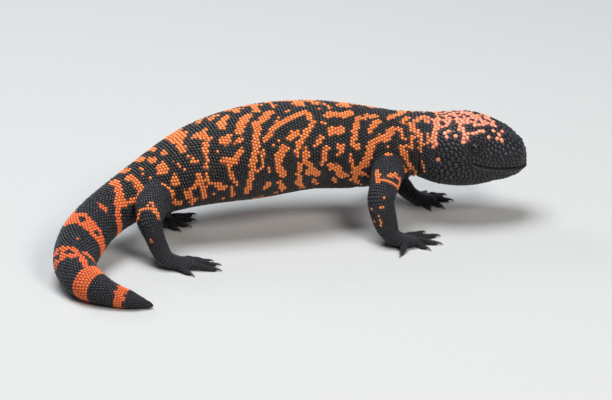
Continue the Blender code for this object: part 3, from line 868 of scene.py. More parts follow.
@dataclass(frozen=True)
class HideFinish:
    """Beaded or bare hide: black and light pigment under a thin satin skin."""

    name: str
    light: tuple = paint(0.93, 0.27, 0.066)  # on the flank
    pale: tuple = paint(0.94, 0.37, 0.235)  # on the head
    hot: tuple = paint(0.88, 0.16, 0.038)  # on the tail
    # The blue cast of black and grey is a painted sky reflection; the body's finish takes warm ones.
    black: tuple = paint(0.0062, 0.0060, 0.0072)
    grey: tuple = paint(0.028, 0.029, 0.038)  # the paler black beads, at random, with a painted bluish sky reflection
    worn: tuple = paint(0.66, 0.13, 0.03)  # a stain on the light beads
    dark_dirt: tuple = paint(0.004, 0.003, 0.003)  # painted shade in the grooves between black beads
    light_groove_shade: tuple = paint(0.10, 0.018, 0.006)  # painted shade in the grooves between light beads
    groove: float = 0.12  # share of the beads' colour left under the painted groove shade
    roughness: float = 0.27

    def material(self) -> bpy.types.Material:
        """Mix the pigments by the marking, warmth and tone stored on the mesh, and paint shade into the
        grooves.

        Returns:
            The material.
        """
        make = Shader(self.name)
        mark, warmth, tone, rise = (make.attribute(name) for name in ("mark", "warmth", "tone", "rise"))
        fine = make.noise(900.0, 4.0, 0.6)
        broad = make.noise(140.0, 3.0, 0.5)
        light = make.mix(warmth.step(0.0, 0.5), self.pale, self.light)
        light = make.mix(warmth.step(0.5, 1.0), light, self.hot)
        light = make.mix(tone * 0.5 + broad * 0.25 - 0.1, light, self.worn)
        dark = make.mix(tone * 0.7 + broad * 0.3, self.black, self.grey)
        colour = make.mix(mark.step(0.25, 0.75), dark, light)
        # Painted shade: where the stored rise is low, in the grooves and at the beads' rims, the colour goes
        # to a dark brown.
        depth = 1.0 - rise.step(0.0, 0.62)
        groove_shade = make.mix(mark, self.dark_dirt, self.light_groove_shade)
        colour = make.mix(depth * (1.0 - self.groove), colour, groove_shade)
        gloss = self.roughness + 0.16 * fine + 0.5 * depth
        normal = make.bump(fine + make.noise(2600.0, 2.0) * 0.5, 0.00006, 0.55)
        return make.finish(Base_Color=colour, Roughness=gloss, Normal=normal, Specular_IOR_Level=0.45)


@dataclass(frozen=True)
class EyeFinish:
    """A wet dark eye: a round pupil in a deep brown iris."""

    name: str
    middle: Triple  # of the ball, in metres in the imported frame
    out: Triple
    radius: float

    def material(self) -> bpy.types.Material:
        """Ring the colour by the angle from the way out: pupil, iris, dark rim.

        Returns:
            The material.
        """
        make = Shader(self.name)
        arm = make.node("ShaderNodeVectorMath", {"operation": "SUBTRACT"}, {0: make.place(), 1: self.middle})
        across = make.node("ShaderNodeVectorMath", {"operation": "CROSS_PRODUCT"}, {0: arm, 1: self.out})
        reach = make.node("ShaderNodeVectorMath", {"operation": "LENGTH"}, {0: across}, "Value") / self.radius
        iris = make.mix(make.noise(2500.0, 3.0), paint(0.005, 0.0035, 0.003), paint(0.013, 0.008, 0.005))
        colour = make.mix(reach.step(0.30, 0.36), paint(0.002, 0.002, 0.002), iris)
        colour = make.mix(reach.step(0.58, 0.72), colour, paint(0.006, 0.0045, 0.004))
        return make.finish(Base_Color=colour, Roughness=0.08, Specular_IOR_Level=0.3, Coat_Weight=0.15)


@dataclass(frozen=True)
class GrainFinish:
    """A finish with one grain in its colour, gloss and bump, and a paler point where one is given."""

    name: str
    grain: Triple  # scale, detail and roughness
    dark: tuple
    light: tuple
    gloss: Pair  # roughness, and how much the grain adds
    relief: Pair  # height and strength of the bump
    point: tuple | None = None  # the end where the stored rise is highest
    polish: float = 0.16  # how much glossier that end is

    def material(self) -> bpy.types.Material:
        """Mix the colours by the grain, and towards the point by the rise.

        Returns:
            The material.
        """
        make = Shader(self.name)
        grain = make.noise(*self.grain)
        colour = make.mix(grain, self.dark, self.light)
        gloss = self.gloss[0] + self.gloss[1] * grain
        if self.point:
            rise = make.attribute("rise")
            colour = make.mix(rise.step(0.45, 1.0) * 0.8, colour, self.point)
            gloss = gloss - self.polish * rise
        return make.finish(Base_Color=colour, Roughness=gloss, Normal=make.bump(grain, *self.relief))


EAR_MEMBRANE = GrainFinish(
    "ear drum membrane", grain=(1400.0, 3.0, 0.6), dark=paint(0.008, 0.006, 0.005),
    light=paint(0.024, 0.018, 0.016), gloss=(0.42, 0.2), relief=(0.00005, 0.5),
)
CLAW_HORN = GrainFinish(
    "claw horn", grain=(1600.0, 4.0, 0.65), dark=paint(0.016, 0.011, 0.009), light=paint(0.060, 0.042, 0.032),
    gloss=(0.42, 0.12), relief=(0.00004, 0.4), point=paint(0.17, 0.125, 0.095),
)
STUDIO_FLOOR = GrainFinish(
    "studio floor", grain=(260.0, 4.0, 0.6), dark=paint(0.50, 0.485, 0.46), light=paint(0.56, 0.545, 0.52),
    gloss=(0.75, 0.1), relief=(0.0002, 0.3),
)


@dataclass
class Sheet:
    """Faces of several sizes over shared points, with numbers stored for each point."""

    points: Array  # in the animal's frame
    corners: Array  # point numbers, one face after another
    sizes: Array  # corners of each face
    stored: dict[str, Array] = field(default_factory=dict)  # numbers by name, one for each point
    chart: Array | None = None  # places on the unwrapped hide

    @staticmethod
    def of_faces(points: Array, faces: list[Array]) -> "Sheet":
        """Gather face tables into a sheet.

        Args:
            points: the points.
            faces: tables of corners, each with one size of face.

        Returns:
            The sheet.
        """
        corners = np.concatenate([table.ravel() for table in faces])
        sizes = np.concatenate([np.full(len(table), table.shape[1]) for table in faces])
        return Sheet(points, corners, sizes)

    def build(self, name: str) -> bpy.types.Object:
        """Make the sheet an object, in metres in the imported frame.

        Args:
            name: the piece's name.

        Returns:
            The object.
        """
        mesh = bpy.data.meshes.new(name)
        places = (self.points - np.array(FOOTPRINT_MIDDLE)) * MM
        mesh.vertices.add(len(places))
        mesh.vertices.foreach_set("co", places.astype(np.float32).ravel())
        mesh.loops.add(len(self.corners))
        mesh.loops.foreach_set("vertex_index", self.corners.astype(np.int32))
        starts = np.concatenate([[0], np.cumsum(self.sizes)[:-1]])
        mesh.polygons.add(len(self.sizes))
        mesh.polygons.foreach_set("loop_start", starts.astype(np.int32))
        mesh.update(calc_edges=True)
        mesh.validate()
        mesh.shade_smooth()
        for label, values in self.stored.items():
            layer = mesh.attributes.new(label, "FLOAT", "POINT")
            layer.data.foreach_set("value", values.astype(np.float32))
        if self.chart is not None:
            layer = mesh.uv_layers.new(name="OFBake")
            layer.uv.foreach_set("vector", self.chart[self.corners].astype(np.float32).ravel())
        made = bpy.data.objects.new(name, mesh)
        bpy.context.scene.collection.objects.link(made)
        return made


def strip_faces(rows: int, sides: int, closed: bool = True) -> Array:
    """Four-cornered faces between the rows of a table of points.

    Args:
        rows: number of rows.
        sides: points in each row.
        closed: whether each row is a ring.

    Returns:
        Corners by face.
    """
    row = np.arange(rows - 1)[:, None] * sides
    side = np.arange(sides if closed else sides - 1)[None, :]
    turn = (side + 1) % sides
    return np.stack([row + side, row + sides + side, row + sides + turn, row + turn], -1).reshape(-1, 4)


def tube_sheet(rings: Array) -> Sheet:
    """Close a tube of rings with a point at the middle of each end, its faces pointing out.

    Args:
        rings: points by ring and side.

    Returns:
        The closed sheet.
    """
    count, sides = rings.shape[:2]
    points = np.concatenate([rings.reshape(-1, 3), rings[0].mean(0)[None], rings[-1].mean(0)[None]])
    quads = strip_faces(count, sides)
    side = np.arange(sides)
    turn, middle = (side + 1) % sides, np.full(sides, count * sides)
    last_ring = (count - 1) * sides
    first = np.stack([side, turn, middle], -1)
    last = np.stack([turn + last_ring, side + last_ring, middle + 1], -1)
    faces = [quads, first, last]
    a, b, c = points[quads[:, :3].T] - points[-2]
    if np.einsum("ij,ij->", a, np.cross(b, c)) < 0:
        faces = [table[:, ::-1] for table in faces]
    return Sheet.of_faces(points, faces)


def rounded_ends(rings: Array, along: Array, reach: Pair) -> Array:
    """Add shrinking rings that round off both ends of a tube: circle arcs of the given reach.

    Args:
        rings: points by ring and side.
        along: direction of the tube at its two ends.
        reach: how far each end stands out.

    Returns:
        The longer table of rings.
    """
    turns = np.radians([82.0, 66.0, 48.0, 28.0])[:, None, None]
    caps = []
    for end, length in ((0, -reach[0]), (-1, reach[1])):
        middle = rings[end].mean(0)
        caps.append(middle + (rings[end] - middle) * np.cos(turns) + along[end] * (length * np.sin(turns)))
    return np.concatenate([caps[0], rings, caps[1][::-1]])


@dataclass(frozen=True)
class MouthLine:
    """The closed mouth, seen from the side."""

    line: Rows = MOUTH_LINE
    corner: float = MOUTH_LINE[-1][0]

    def height(self, points: Array) -> tuple[Array, Array]:
        """How far back places are, and how far above the mouth line.

        Args:
            points: places in the animal's frame.

        Returns:
            Distances back and heights above the line.
        """
        tip, eyes = (np.array(BODY_STATIONS[name][:3]) for name in ("snout tip", "eyes"))
        away = (points - tip) @ unit((eyes - tip) * (1, 1, 0))
        table = np.array(self.line)
        return away, points[..., 2] - np.interp(away, table[:, 0], table[:, 1])


@dataclass
class Hide:
    """The one skin under the beads, in the shape of the solids less the beads' depth."""

    body: Body
    limbs: list[Extremity]
    mouth: MouthLine
    depth: float = 0.75  # how far the skin lies inside the solids
    limb_depth: float = 0.6
    digit_depth: float = 0.45
    sides: int = 200
    head_step: float = 0.55
    trunk_step: float = 1.8
    crowding: float = 0.24  # how far points are drawn to the eyes and the mouth
    # Step, points in a ring, reach of the ends.
    limb_rings: tuple[float, int, Pair] = (1.4, 40, (2.0, 1.2))
    digit_rings: tuple[float, int, Pair] = (0.9, 16, (1.0, 0.9))
    mouth_groove: Pair = (2.1, 0.8)  # depth and width
    # Height, place above the mouth line and width.
    lips: Rows = ((0.1, 1.9, 1.2), (1.0, -1.5, 1.2))
    # Depth and width, then height, radius and width of the rim.
    nostril: tuple[float, float, float, float, float] = (1.9, 1.05, 0.35, 2.4, 0.9)
    ear: Triple = (1.5, 1.7, 3.8)  # depth, half length and half height
    eye_hollow: Triple = (1.0, 2.6, 4.0)  # depth, and the radii of its wall
    # Distance, drop where it starts, width and depth.
    folds: Rows = (
        (83.0, 34.0, 1.3, 0.8), (89.5, 42.0, 1.8, 1.1), (96.0, 52.0, 1.8, 0.8), (128.0, 46.0, 2.6, 0.7),
        (290.0, 34.0, 2.6, 0.7),
    )
    eased: tuple[int, float] = (14, 0.55)  # rounds, and the share of the way to the neighbours' mean
    eased_reach: Pair = (5.0, 1.6)  # from a join, above and below the wrists
    wrist_height: float = 14.0

    def grid(self) -> tuple[Array, Array, Array]:
        """The body's rows: close together on the head, with more sides level with the eyes and the mouth.

        Returns:
            Distances by row, and angles and swells by row and side.
        """
        head_end = self.body.knots()["occiput"] + 4.0
        end = self.body.length()
        head = np.linspace(0.6, head_end, round(head_end / self.head_step))
        rest = np.linspace(head_end, end, round((end - head_end) / self.trunk_step))[1:]
        at = np.concatenate([head, rest])
        turn = np.linspace(-math.pi, math.pi, self.sides, endpoint=False)[None, :]
        squeeze = self.crowding * (1 - smooth_step(head_end - 14.0, head_end + 16.0, at))[:, None]
        degrees = np.degrees(turn + squeeze * np.sin(2 * turn))
        thin = smooth_step(end - 12.0, end, at)[:, None]
        return at, degrees, np.broadcast_to(-self.depth * (1 - 0.55 * thin), degrees.shape)

    def details(self, points: Array, distance: Array, drop: Array) -> Array:
        """How far each point of the skin moves out: mouth groove, nostrils, ears, eye hollows and neck folds.

        Each is a bell in the distance to its place, and a fold is a bell along the body below some drop.

        Args:
            points: points by row and side.
            distance: distances from the snout tip.
            drop: drops.

        Returns:
            Moves out by row and side.
        """
        move = np.zeros(points.shape[:2])
        away, above = self.mouth.height(points)
        groove, width = self.mouth_groove
        corner = self.mouth.corner
        inside = (1 - smooth_step(corner - 1.0, corner + 3.0, away)) * (distance < corner + 12.0)
        move -= groove * bell(above, 0.0, width) * inside
        upper, lower = (height * bell(above, place, width) for height, place, width in self.lips)
        move += (upper + lower) * inside
        for side in Side:
            pit, width, rim, radius, rim_width = self.nostril
            reach = np.linalg.norm(points - self.body.frame_at(NOSTRIL_AT, side)[0], axis=-1)
            move += rim * bell(reach, radius, rim_width) - pit * bell(reach, 0.0, width)
            place, out, back, up = self.body.frame_at(EAR_AT, side)
            arm = points - place
            pit, half_length, half_height = self.ear
            reach = np.hypot(arm @ back / half_length, arm @ up / half_height)
            reach += 20.0 * (np.abs(arm @ out) > 5.0)
            move -= pit * (1 - smooth_step(0.72, 1.12, reach))
            pit, low, high = self.eye_hollow
            reach = np.linalg.norm(points - self.body.frame_at(EYE_AT, side)[0], axis=-1)
            move -= pit * (1 - smooth_step(low, high, reach))
        for place, start, width, depth in self.folds:
            low = smooth_step(start - 10.0, start + 10.0, np.abs(drop))
            move -= depth * low * bell(distance, place + 0.05 * (np.abs(drop) - start), width)
        return move

    def body_rings(self) -> tuple[Array, Array, Array]:
        """The body's skin as rings, with each point's distance and drop.

        Returns:
            Points by ring and side, distances and drops.
        """
        at, degrees, swell = self.grid()
        points = self.body.points(at, degrees, swell)
        distance = np.broadcast_to(at[:, None], degrees.shape)
        drop = self.body.drop_of(at, degrees)
        along = self.body.sections(at[[0, -1]])[1]
        capped = rounded_ends(points, along, (0.9, 0.9))
        added = (len(capped) - len(points)) // 2
        distance, drop = (np.pad(table, ((added, added), (0, 0)), mode="edge") for table in (distance, drop))
        down = np.gradient(capped, axis=0)
        around = (np.roll(capped, -1, axis=1) - np.roll(capped, 1, axis=1)) / 2
        out = unit(np.cross(down, around))
        middle = capped.mean(1, keepdims=True)
        out *= np.sign(np.einsum("ijk,ijk->ij", out, capped - middle))[..., None]
        moved = capped + out * self.details(capped, distance, drop)[..., None]
        return moved, distance, drop

    def build(self) -> tuple[Sheet, Array]:
        """Join the body, limbs and digits into one skin and smooth the joins.

        Returns:
            The skin, and for each of its points the region's number, distance and drop.
        """
        rings, distance, drop = self.body_rings()
        body = tube_sheet(rings)
        body_piece = body.build("hide")
        places, labels = [body.points], [np.zeros((len(body.points), 3))]
        labels[0][: distance.size, 1:] = np.column_stack([distance.ravel(), drop.ravel()])
        labels[0][-1, 1] = self.body.length()
        for number, end in enumerate(self.limbs, start=1):
            step, sides, ends = self.limb_rings
            pieces = [end.limb.tube(end.limb.length(), step, sides, self.limb_depth, ends)]
            step, sides, ends = self.digit_rings
            for digit in end.digits():
                pieces.append(digit.tube(digit.knots()["claw"], step, sides, self.digit_depth, ends))
            made = [piece.build(f"join {number} {index}") for index, piece in enumerate(pieces)]
            for digit in made[1:]:
                self.join(made[0], digit)
            self.join(body_piece, made[0])
            for piece in pieces:
                places.append(piece.points)
                labels.append(np.tile([float(number), 0.0, 0.0], (len(piece.points), 1)))
        return self.smoothed(body_piece, np.concatenate(places), np.concatenate(labels))

    @staticmethod
    def join(piece: bpy.types.Object, other: bpy.types.Object) -> None:
        """Unite an object with a piece, and remove the object.

        Args:
            piece: the piece.
            other: the object.
        """
        step = piece.modifiers.new("join", "BOOLEAN")
        step.operation = "UNION"
        step.solver = "MANIFOLD"
        step.object = other
        bpy.context.view_layer.update()
        result = bpy.data.meshes.new_from_object(piece.evaluated_get(bpy.context.evaluated_depsgraph_get()))
        piece.modifiers.clear()
        spare = piece.data, other.data
        piece.data = result
        bpy.data.objects.remove(other)
        for mesh in spare:
            bpy.data.meshes.remove(mesh)

    def smoothed(self, piece: bpy.types.Object, places: Array, labels: Array) -> tuple[Sheet, Array]:
        """Read the joined mesh back, ease its joins, and label each point from the nearest source point.

        A join is eased by moving each point near it towards the mean of its neighbours, many times.

        Args:
            piece: the joined object, which is removed.
            places: points of all the parts before they were joined.
            labels: the same points' region number, distance and drop.

        Returns:
            The skin's sheet and its points' labels.
        """
        mesh = piece.data
        points = stored_numbers(mesh.vertices, "co", 3, np.float32).astype(float) / MM
        points += np.array(FOOTPRINT_MIDDLE)
        edges = stored_numbers(mesh.edges, "vertices", 2, np.int32)
        corners = stored_numbers(mesh.loops, "vertex_index", 1, np.int32).ravel()
        sizes = stored_numbers(mesh.polygons, "loop_total", 1, np.int32).ravel()
        bpy.data.objects.remove(piece)
        bpy.data.meshes.remove(mesh)
        nearest, gaps = nearest_of(places, points)
        reach = nearest_of(points[gaps > 0.01], points)[1]
        rounds, strength = self.eased
        wide = np.where(points[:, 2] > self.wrist_height, *self.eased_reach)
        weight = strength * (1 - smooth_step(0.3, 1.0, reach / wide))
        near = np.bincount(edges.ravel(), minlength=len(points))
        for _ in range(rounds):
            total = np.zeros_like(points)
            for axis in range(3):
                for here, there in (edges.T, edges.T[::-1]):
                    total[:, axis] += np.bincount(here, points[there, axis], len(points))
            points += weight[:, None] * (total / np.maximum(near, 1)[:, None] - points)
        points[:, 2] = np.maximum(points[:, 2], FLOOR_CLEARANCE)
        return Sheet(points, corners, sizes), labels[nearest]


def stored_numbers(items: Any, name: str, width: int, kind: type) -> Array:
    """Numbers of a mesh's points, edges, corners or faces.

    Args:
        items: the points, edges, corners or faces.
        name: the number's name.
        width: how many there are for each item.
        kind: their type.

    Returns:
        The numbers by item.
    """
    values = np.empty(len(items) * width, kind)
    items.foreach_get(name, values)
    return values.reshape(-1, width)


def nearest_of(points: Array, places: Array) -> tuple[Array, Array]:
    """The nearest of some points to each place.

    Args:
        points: the points.
        places: the places.

    Returns:
        The nearest point's number and its distance, by place.
    """
    tree = tree_of(points)
    found = [tree.find(place)[1:] for place in places.tolist()]
    return np.array([hit[0] for hit in found]), np.array([hit[1] for hit in found])


def tree_of(points: Array) -> KDTree:
    """A balanced tree for finding the nearest of some points.

    Args:
        points: the points.

    Returns:
        The tree.
    """
    tree = KDTree(len(points))
    for index, place in enumerate(points.tolist()):
        tree.insert(place, index)
    tree.balance()
    return tree


@dataclass(frozen=True)
class EyeSet:
    """An eye and its lids, set in the side of the head."""

    body: Body
    side: Side
    radius: float = 3.6
    inset: float = 2.0  # depth of the ball's middle under the solids
    opening: Pair = (3.15, 2.3)  # half length and half height
    lid: float = 0.30  # thickness
    margin: float = 5.6  # radius where the lids go down into the skin
    sides: int = 64
    lid_rows: int = 16
    # Distance from the opening, and width.
    bead_rings: Rows = ((0.95, 1.25), (2.3, 1.55), (3.95, 1.95))
    pinch: float = 0.16  # how much longer the corners are
    # Depth under the solids, and its growth with the square of the radius.
    level: Pair = (0.62, 0.012)
    blend: float = 0.45  # softness of the pass from the ball to that level
    rim: Pair = (0.30, 0.16)  # height and width of the swell
    tuck: float = 0.9  # how far the margin goes down

    def frame(self) -> Frame:
        """The ball's middle, and the ways out, back and up."""
        place, out, back, up = self.body.frame_at(EYE_AT, self.side)
        return place - out * self.inset, out, back, up

    def ball(self) -> Sheet:
        """The eyeball: a sphere with a slightly raised cornea, by rings round the way out.

        Returns:
            The closed sheet.
        """
        middle, out, back, up = self.frame()
        tilt = np.linspace(0.03, math.pi - 0.03, 30)[:, None]
        turn = circle(40)[None, :]
        size = self.radius * (1.0 + 0.045 * bell(tilt, 0.0, 0.5)) * np.ones_like(turn)
        flat = size * np.sin(tilt)
        across, upward = flat * np.cos(turn), flat * np.sin(turn)
        return tube_sheet(placed(middle, (across, back), (upward, up), (size * np.cos(tilt), out)))

    def lids(self) -> Sheet:
        """The lids: a ring from inside the ball's surface, over a rounded rim, and down into the skin.

        The height over the ball's middle is that of a slightly larger ball near the eye, which runs into the
        level of the skin round it.

        Returns:
            The sheet, closed round the opening.
        """
        middle, out, back, up = self.frame()
        turn = circle(self.sides)[None, :]
        across = np.linspace(0.0, 1.0, self.lid_rows)[:, None] ** 1.25
        pinch = 1.0 + self.pinch * np.cos(turn) ** 6
        x = self.opening[0] * np.cos(turn) * pinch * (1 - across) + self.margin * np.cos(turn) * across
        y = self.opening[1] * np.sin(turn) * (1 - across) + self.margin * np.sin(turn) * across
        reach = np.hypot(x, y)
        shell = np.sqrt(np.maximum((self.radius + self.lid) ** 2 - reach**2, 0.0))
        level = self.inset - self.level[0] - self.level[1] * reach**2
        height = level + self.blend * np.log1p(np.exp((shell - level) / self.blend))
        height += self.rim[0] * bell(across, 0.0, self.rim[1]) * (0.6 + 0.4 * np.sin(turn))
        height -= self.tuck * smooth_step(0.82, 1.0, across)
        lip_x, lip_y = x[:1] * 0.985, y[:1] * 0.985
        lip = np.sqrt(self.radius**2 - np.hypot(lip_x, lip_y) ** 2) - 0.35
        x, y, height = np.concatenate([lip_x, x]), np.concatenate([lip_y, y]), np.concatenate([lip, height])
        points = placed(middle, (x, back), (y, up), (height, out)).reshape(-1, 3)
        quads = strip_faces(len(height), self.sides)
        a, b, c = points[quads[0, :3]]
        return Sheet.of_faces(points, [quads[:, ::-1] if np.cross(b - a, c - a) @ out < 0 else quads])

    def seeds(self) -> Array:
        """Places of the small beads on the lids, in rings round the opening.

        Returns:
            Places, and each bead's width in the fourth column.
        """
        middle, out, back, up = self.frame()
        rows = []
        for index, (gap, width) in enumerate(self.bead_rings):
            length, height = self.opening[0] + gap, self.opening[1] + gap
            count = round(math.pi * (length + height) / width)
            turn = (np.arange(count) + 0.5 * index) * 2 * math.pi / count
            x, y = length * np.cos(turn), height * np.sin(turn)
            lift = np.sqrt(np.maximum((self.radius + self.lid) ** 2 - x**2 - y**2, 1.0))
            place = placed(middle, (x, back), (y, up), (lift, out))
            rows.append(np.column_stack([place, np.full(count, width)]))
        return np.concatenate(rows)

    def dress(self, lid_material: bpy.types.Material) -> None:
        """Build the ball and the lids, finish them and let them ride.

        Args:
            lid_material: the head's hide.
        """
        word = self.side.name.lower()
        ball = self.ball().build(f"eyeball_{word}")
        middle, out, _, _ = self.frame()
        centre = (middle - np.array(FOOTPRINT_MIDDLE)) * MM
        finish = EyeFinish(f"eye {word}", tuple(centre), tuple(out), self.radius * MM)
        ball.data.materials.append(finish.material())
        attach(ball, "root")
        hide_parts(f"eye_{word}")
        sheet = self.lids()
        sheet.stored = plain_labels(len(sheet.points), 0.35)
        sheet.stored["tone"][: 4 * self.sides] = 1.0
        sheet.stored["rise"][: 4 * self.sides] = 0.9
        lids = sheet.build(f"lids_{word}")
        lids.data.materials.append(lid_material)
        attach(lids, "root")
        log.info("eye and lids %s: %d faces", word, len(ball.data.polygons) + len(lids.data.polygons))


def plain_labels(count: int, rise: float) -> dict[str, Array]:
    """The hide's stored numbers for plain black points.

    Args:
        count: how many points there are.
        rise: how far they stand out of the grooves, from 0 to 1; a low rise gets the painted groove shade.

    Returns:
        The numbers by name.
    """
    values = {"mark": 0.0, "warmth": 0.0, "tone": 0.5, "rise": rise}
    return {name: np.full(count, value) for name, value in values.items()}


@dataclass(frozen=True)
class EarDrum:
    """The drum at the bottom of the ear's slit: a shallow dish."""

    body: Body
    side: Side
    half: Pair = (1.75, 3.7)  # length and height
    depth: float = 1.55  # of the rim under the solids
    dish: float = 0.35  # how much deeper the middle is
    thick: float = 0.9

    def dress(self) -> None:
        """Build the dish, closed behind, from circles scaled to the slit, and let it ride."""
        word = self.side.name.lower()
        place, out, back, up = self.body.frame_at(EAR_AT, self.side)
        share, turn = np.linspace(0.04, 1.0, 10)[:, None], circle(36)[None, :]
        x, y = self.half[0] * share * np.cos(turn), self.half[1] * share * np.sin(turn)
        front = -self.depth - self.dish * (1 - share**2) + 0 * turn
        behind = np.full_like(front, -self.depth - self.thick)
        front, behind = (placed(place, (x, back), (y, up), (height, out)) for height in (front, behind))
        rings = np.concatenate([front, behind[::-1]])
        drum = tube_sheet(rings).build(f"ear_drum_{word}")
        drum.data.materials.append(EAR_MEMBRANE.material())
        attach(drum, "root")
        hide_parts(f"ear_{word}")
        log.info("ear drum %s: %d faces", word, len(drum.data.polygons))


@dataclass(frozen=True)
class Claws:
    """The five claws of a hand or foot: curved, pointed and deeper than wide."""

    end: Extremity
    sides: int = 14
    rings: int = 18
    arch: float = 0.75  # rise over a straight line
    set_in: Pair = (1.4, 0.35)  # back into the digit, and up
    half: Pair = (0.78, 1.05)  # width and height, as shares of the radius

    def rings_of(self, digit: Limb, share: Array) -> Array:
        """One claw: circles that shrink to the point as a root of what is left, along an arched line.

        Args:
            digit: the claw's digit.
            share: places of the rings, as shares of the claw.

        Returns:
            Points by ring and side.
        """
        base, point = (np.array(digit.stations[name][:3]) for name in ("claw", "point"))
        forward = unit((point - base) * (1, 1, 0))
        start = base - forward * self.set_in[0] + UP * self.set_in[1]
        middle = start + (point - start) * share[:, None]
        middle[:, 2] += self.arch * np.sin(math.pi * share**0.9)
        size = (self.end.claw_radius * 1.08 * (1 - share) ** 0.62)[:, None]
        across = np.cross(UP, forward)
        upward = np.cross(unit(np.gradient(middle, axis=0)), across)
        upward *= np.sign(upward[:, 2:3])
        turn = circle(self.sides)
        rings = placed(middle[:, None], (self.half[0] * size * np.sin(turn), across),
                       (self.half[1] * size * np.cos(turn), upward[:, None]))
        rings[..., 2] = np.maximum(rings[..., 2], FLOOR_CLEARANCE)
        return rings

    def dress(self, material: bpy.types.Material) -> None:
        """Build the claws as one piece, finish it and let it ride.

        Args:
            material: the horn.
        """
        share = np.linspace(0.0, 0.985, self.rings)
        sheets = [tube_sheet(self.rings_of(digit, share)) for digit in self.end.digits()]
        points = np.concatenate([sheet.points for sheet in sheets])
        count = len(sheets[0].points)
        corners = np.concatenate([sheet.corners + index * count for index, sheet in enumerate(sheets)])
        sizes = np.concatenate([sheet.sizes for sheet in sheets])
        rise = np.concatenate([np.repeat(share, self.sides), [0.0, 1.0]])
        word = f"{self.end.hand}_{self.end.side.name.lower()}"
        piece = Sheet(points, corners, sizes, {"rise": np.tile(rise, len(sheets))}).build(f"claws_{word}")
        piece.data.materials.append(material)
        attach(piece, "root")
        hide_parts(*[f"claw_{word}_{number}" for number in range(1, 6)])
        log.info("claws %s: %d faces", word, len(piece.data.polygons))


@dataclass
class Seeds:
    """Places of beads, as growing columns."""

    point: Array
    back: Array  # the way back along the part
    width: Array
    height: Array  # as a share of the width
    region: Array  # 0 is the body and 1 to 4 the limbs
    distance: Array  # along the part
    drop: Array  # round the part
    rank: Array  # the lower of two crowding beads stays

    @staticmethod
    def gather(parts: list["Seeds"]) -> "Seeds":
        """Join several sets of seeds.

        Args:
            parts: the sets.

        Returns:
            One set.
        """
        names = Seeds.__dataclass_fields__
        return Seeds(**{name: np.concatenate([getattr(part, name) for part in parts]) for name in names})

    def keep(self, chosen: Array) -> "Seeds":
        """The seeds of a mask or a list of numbers."""
        return Seeds(**{name: getattr(self, name)[chosen] for name in Seeds.__dataclass_fields__})


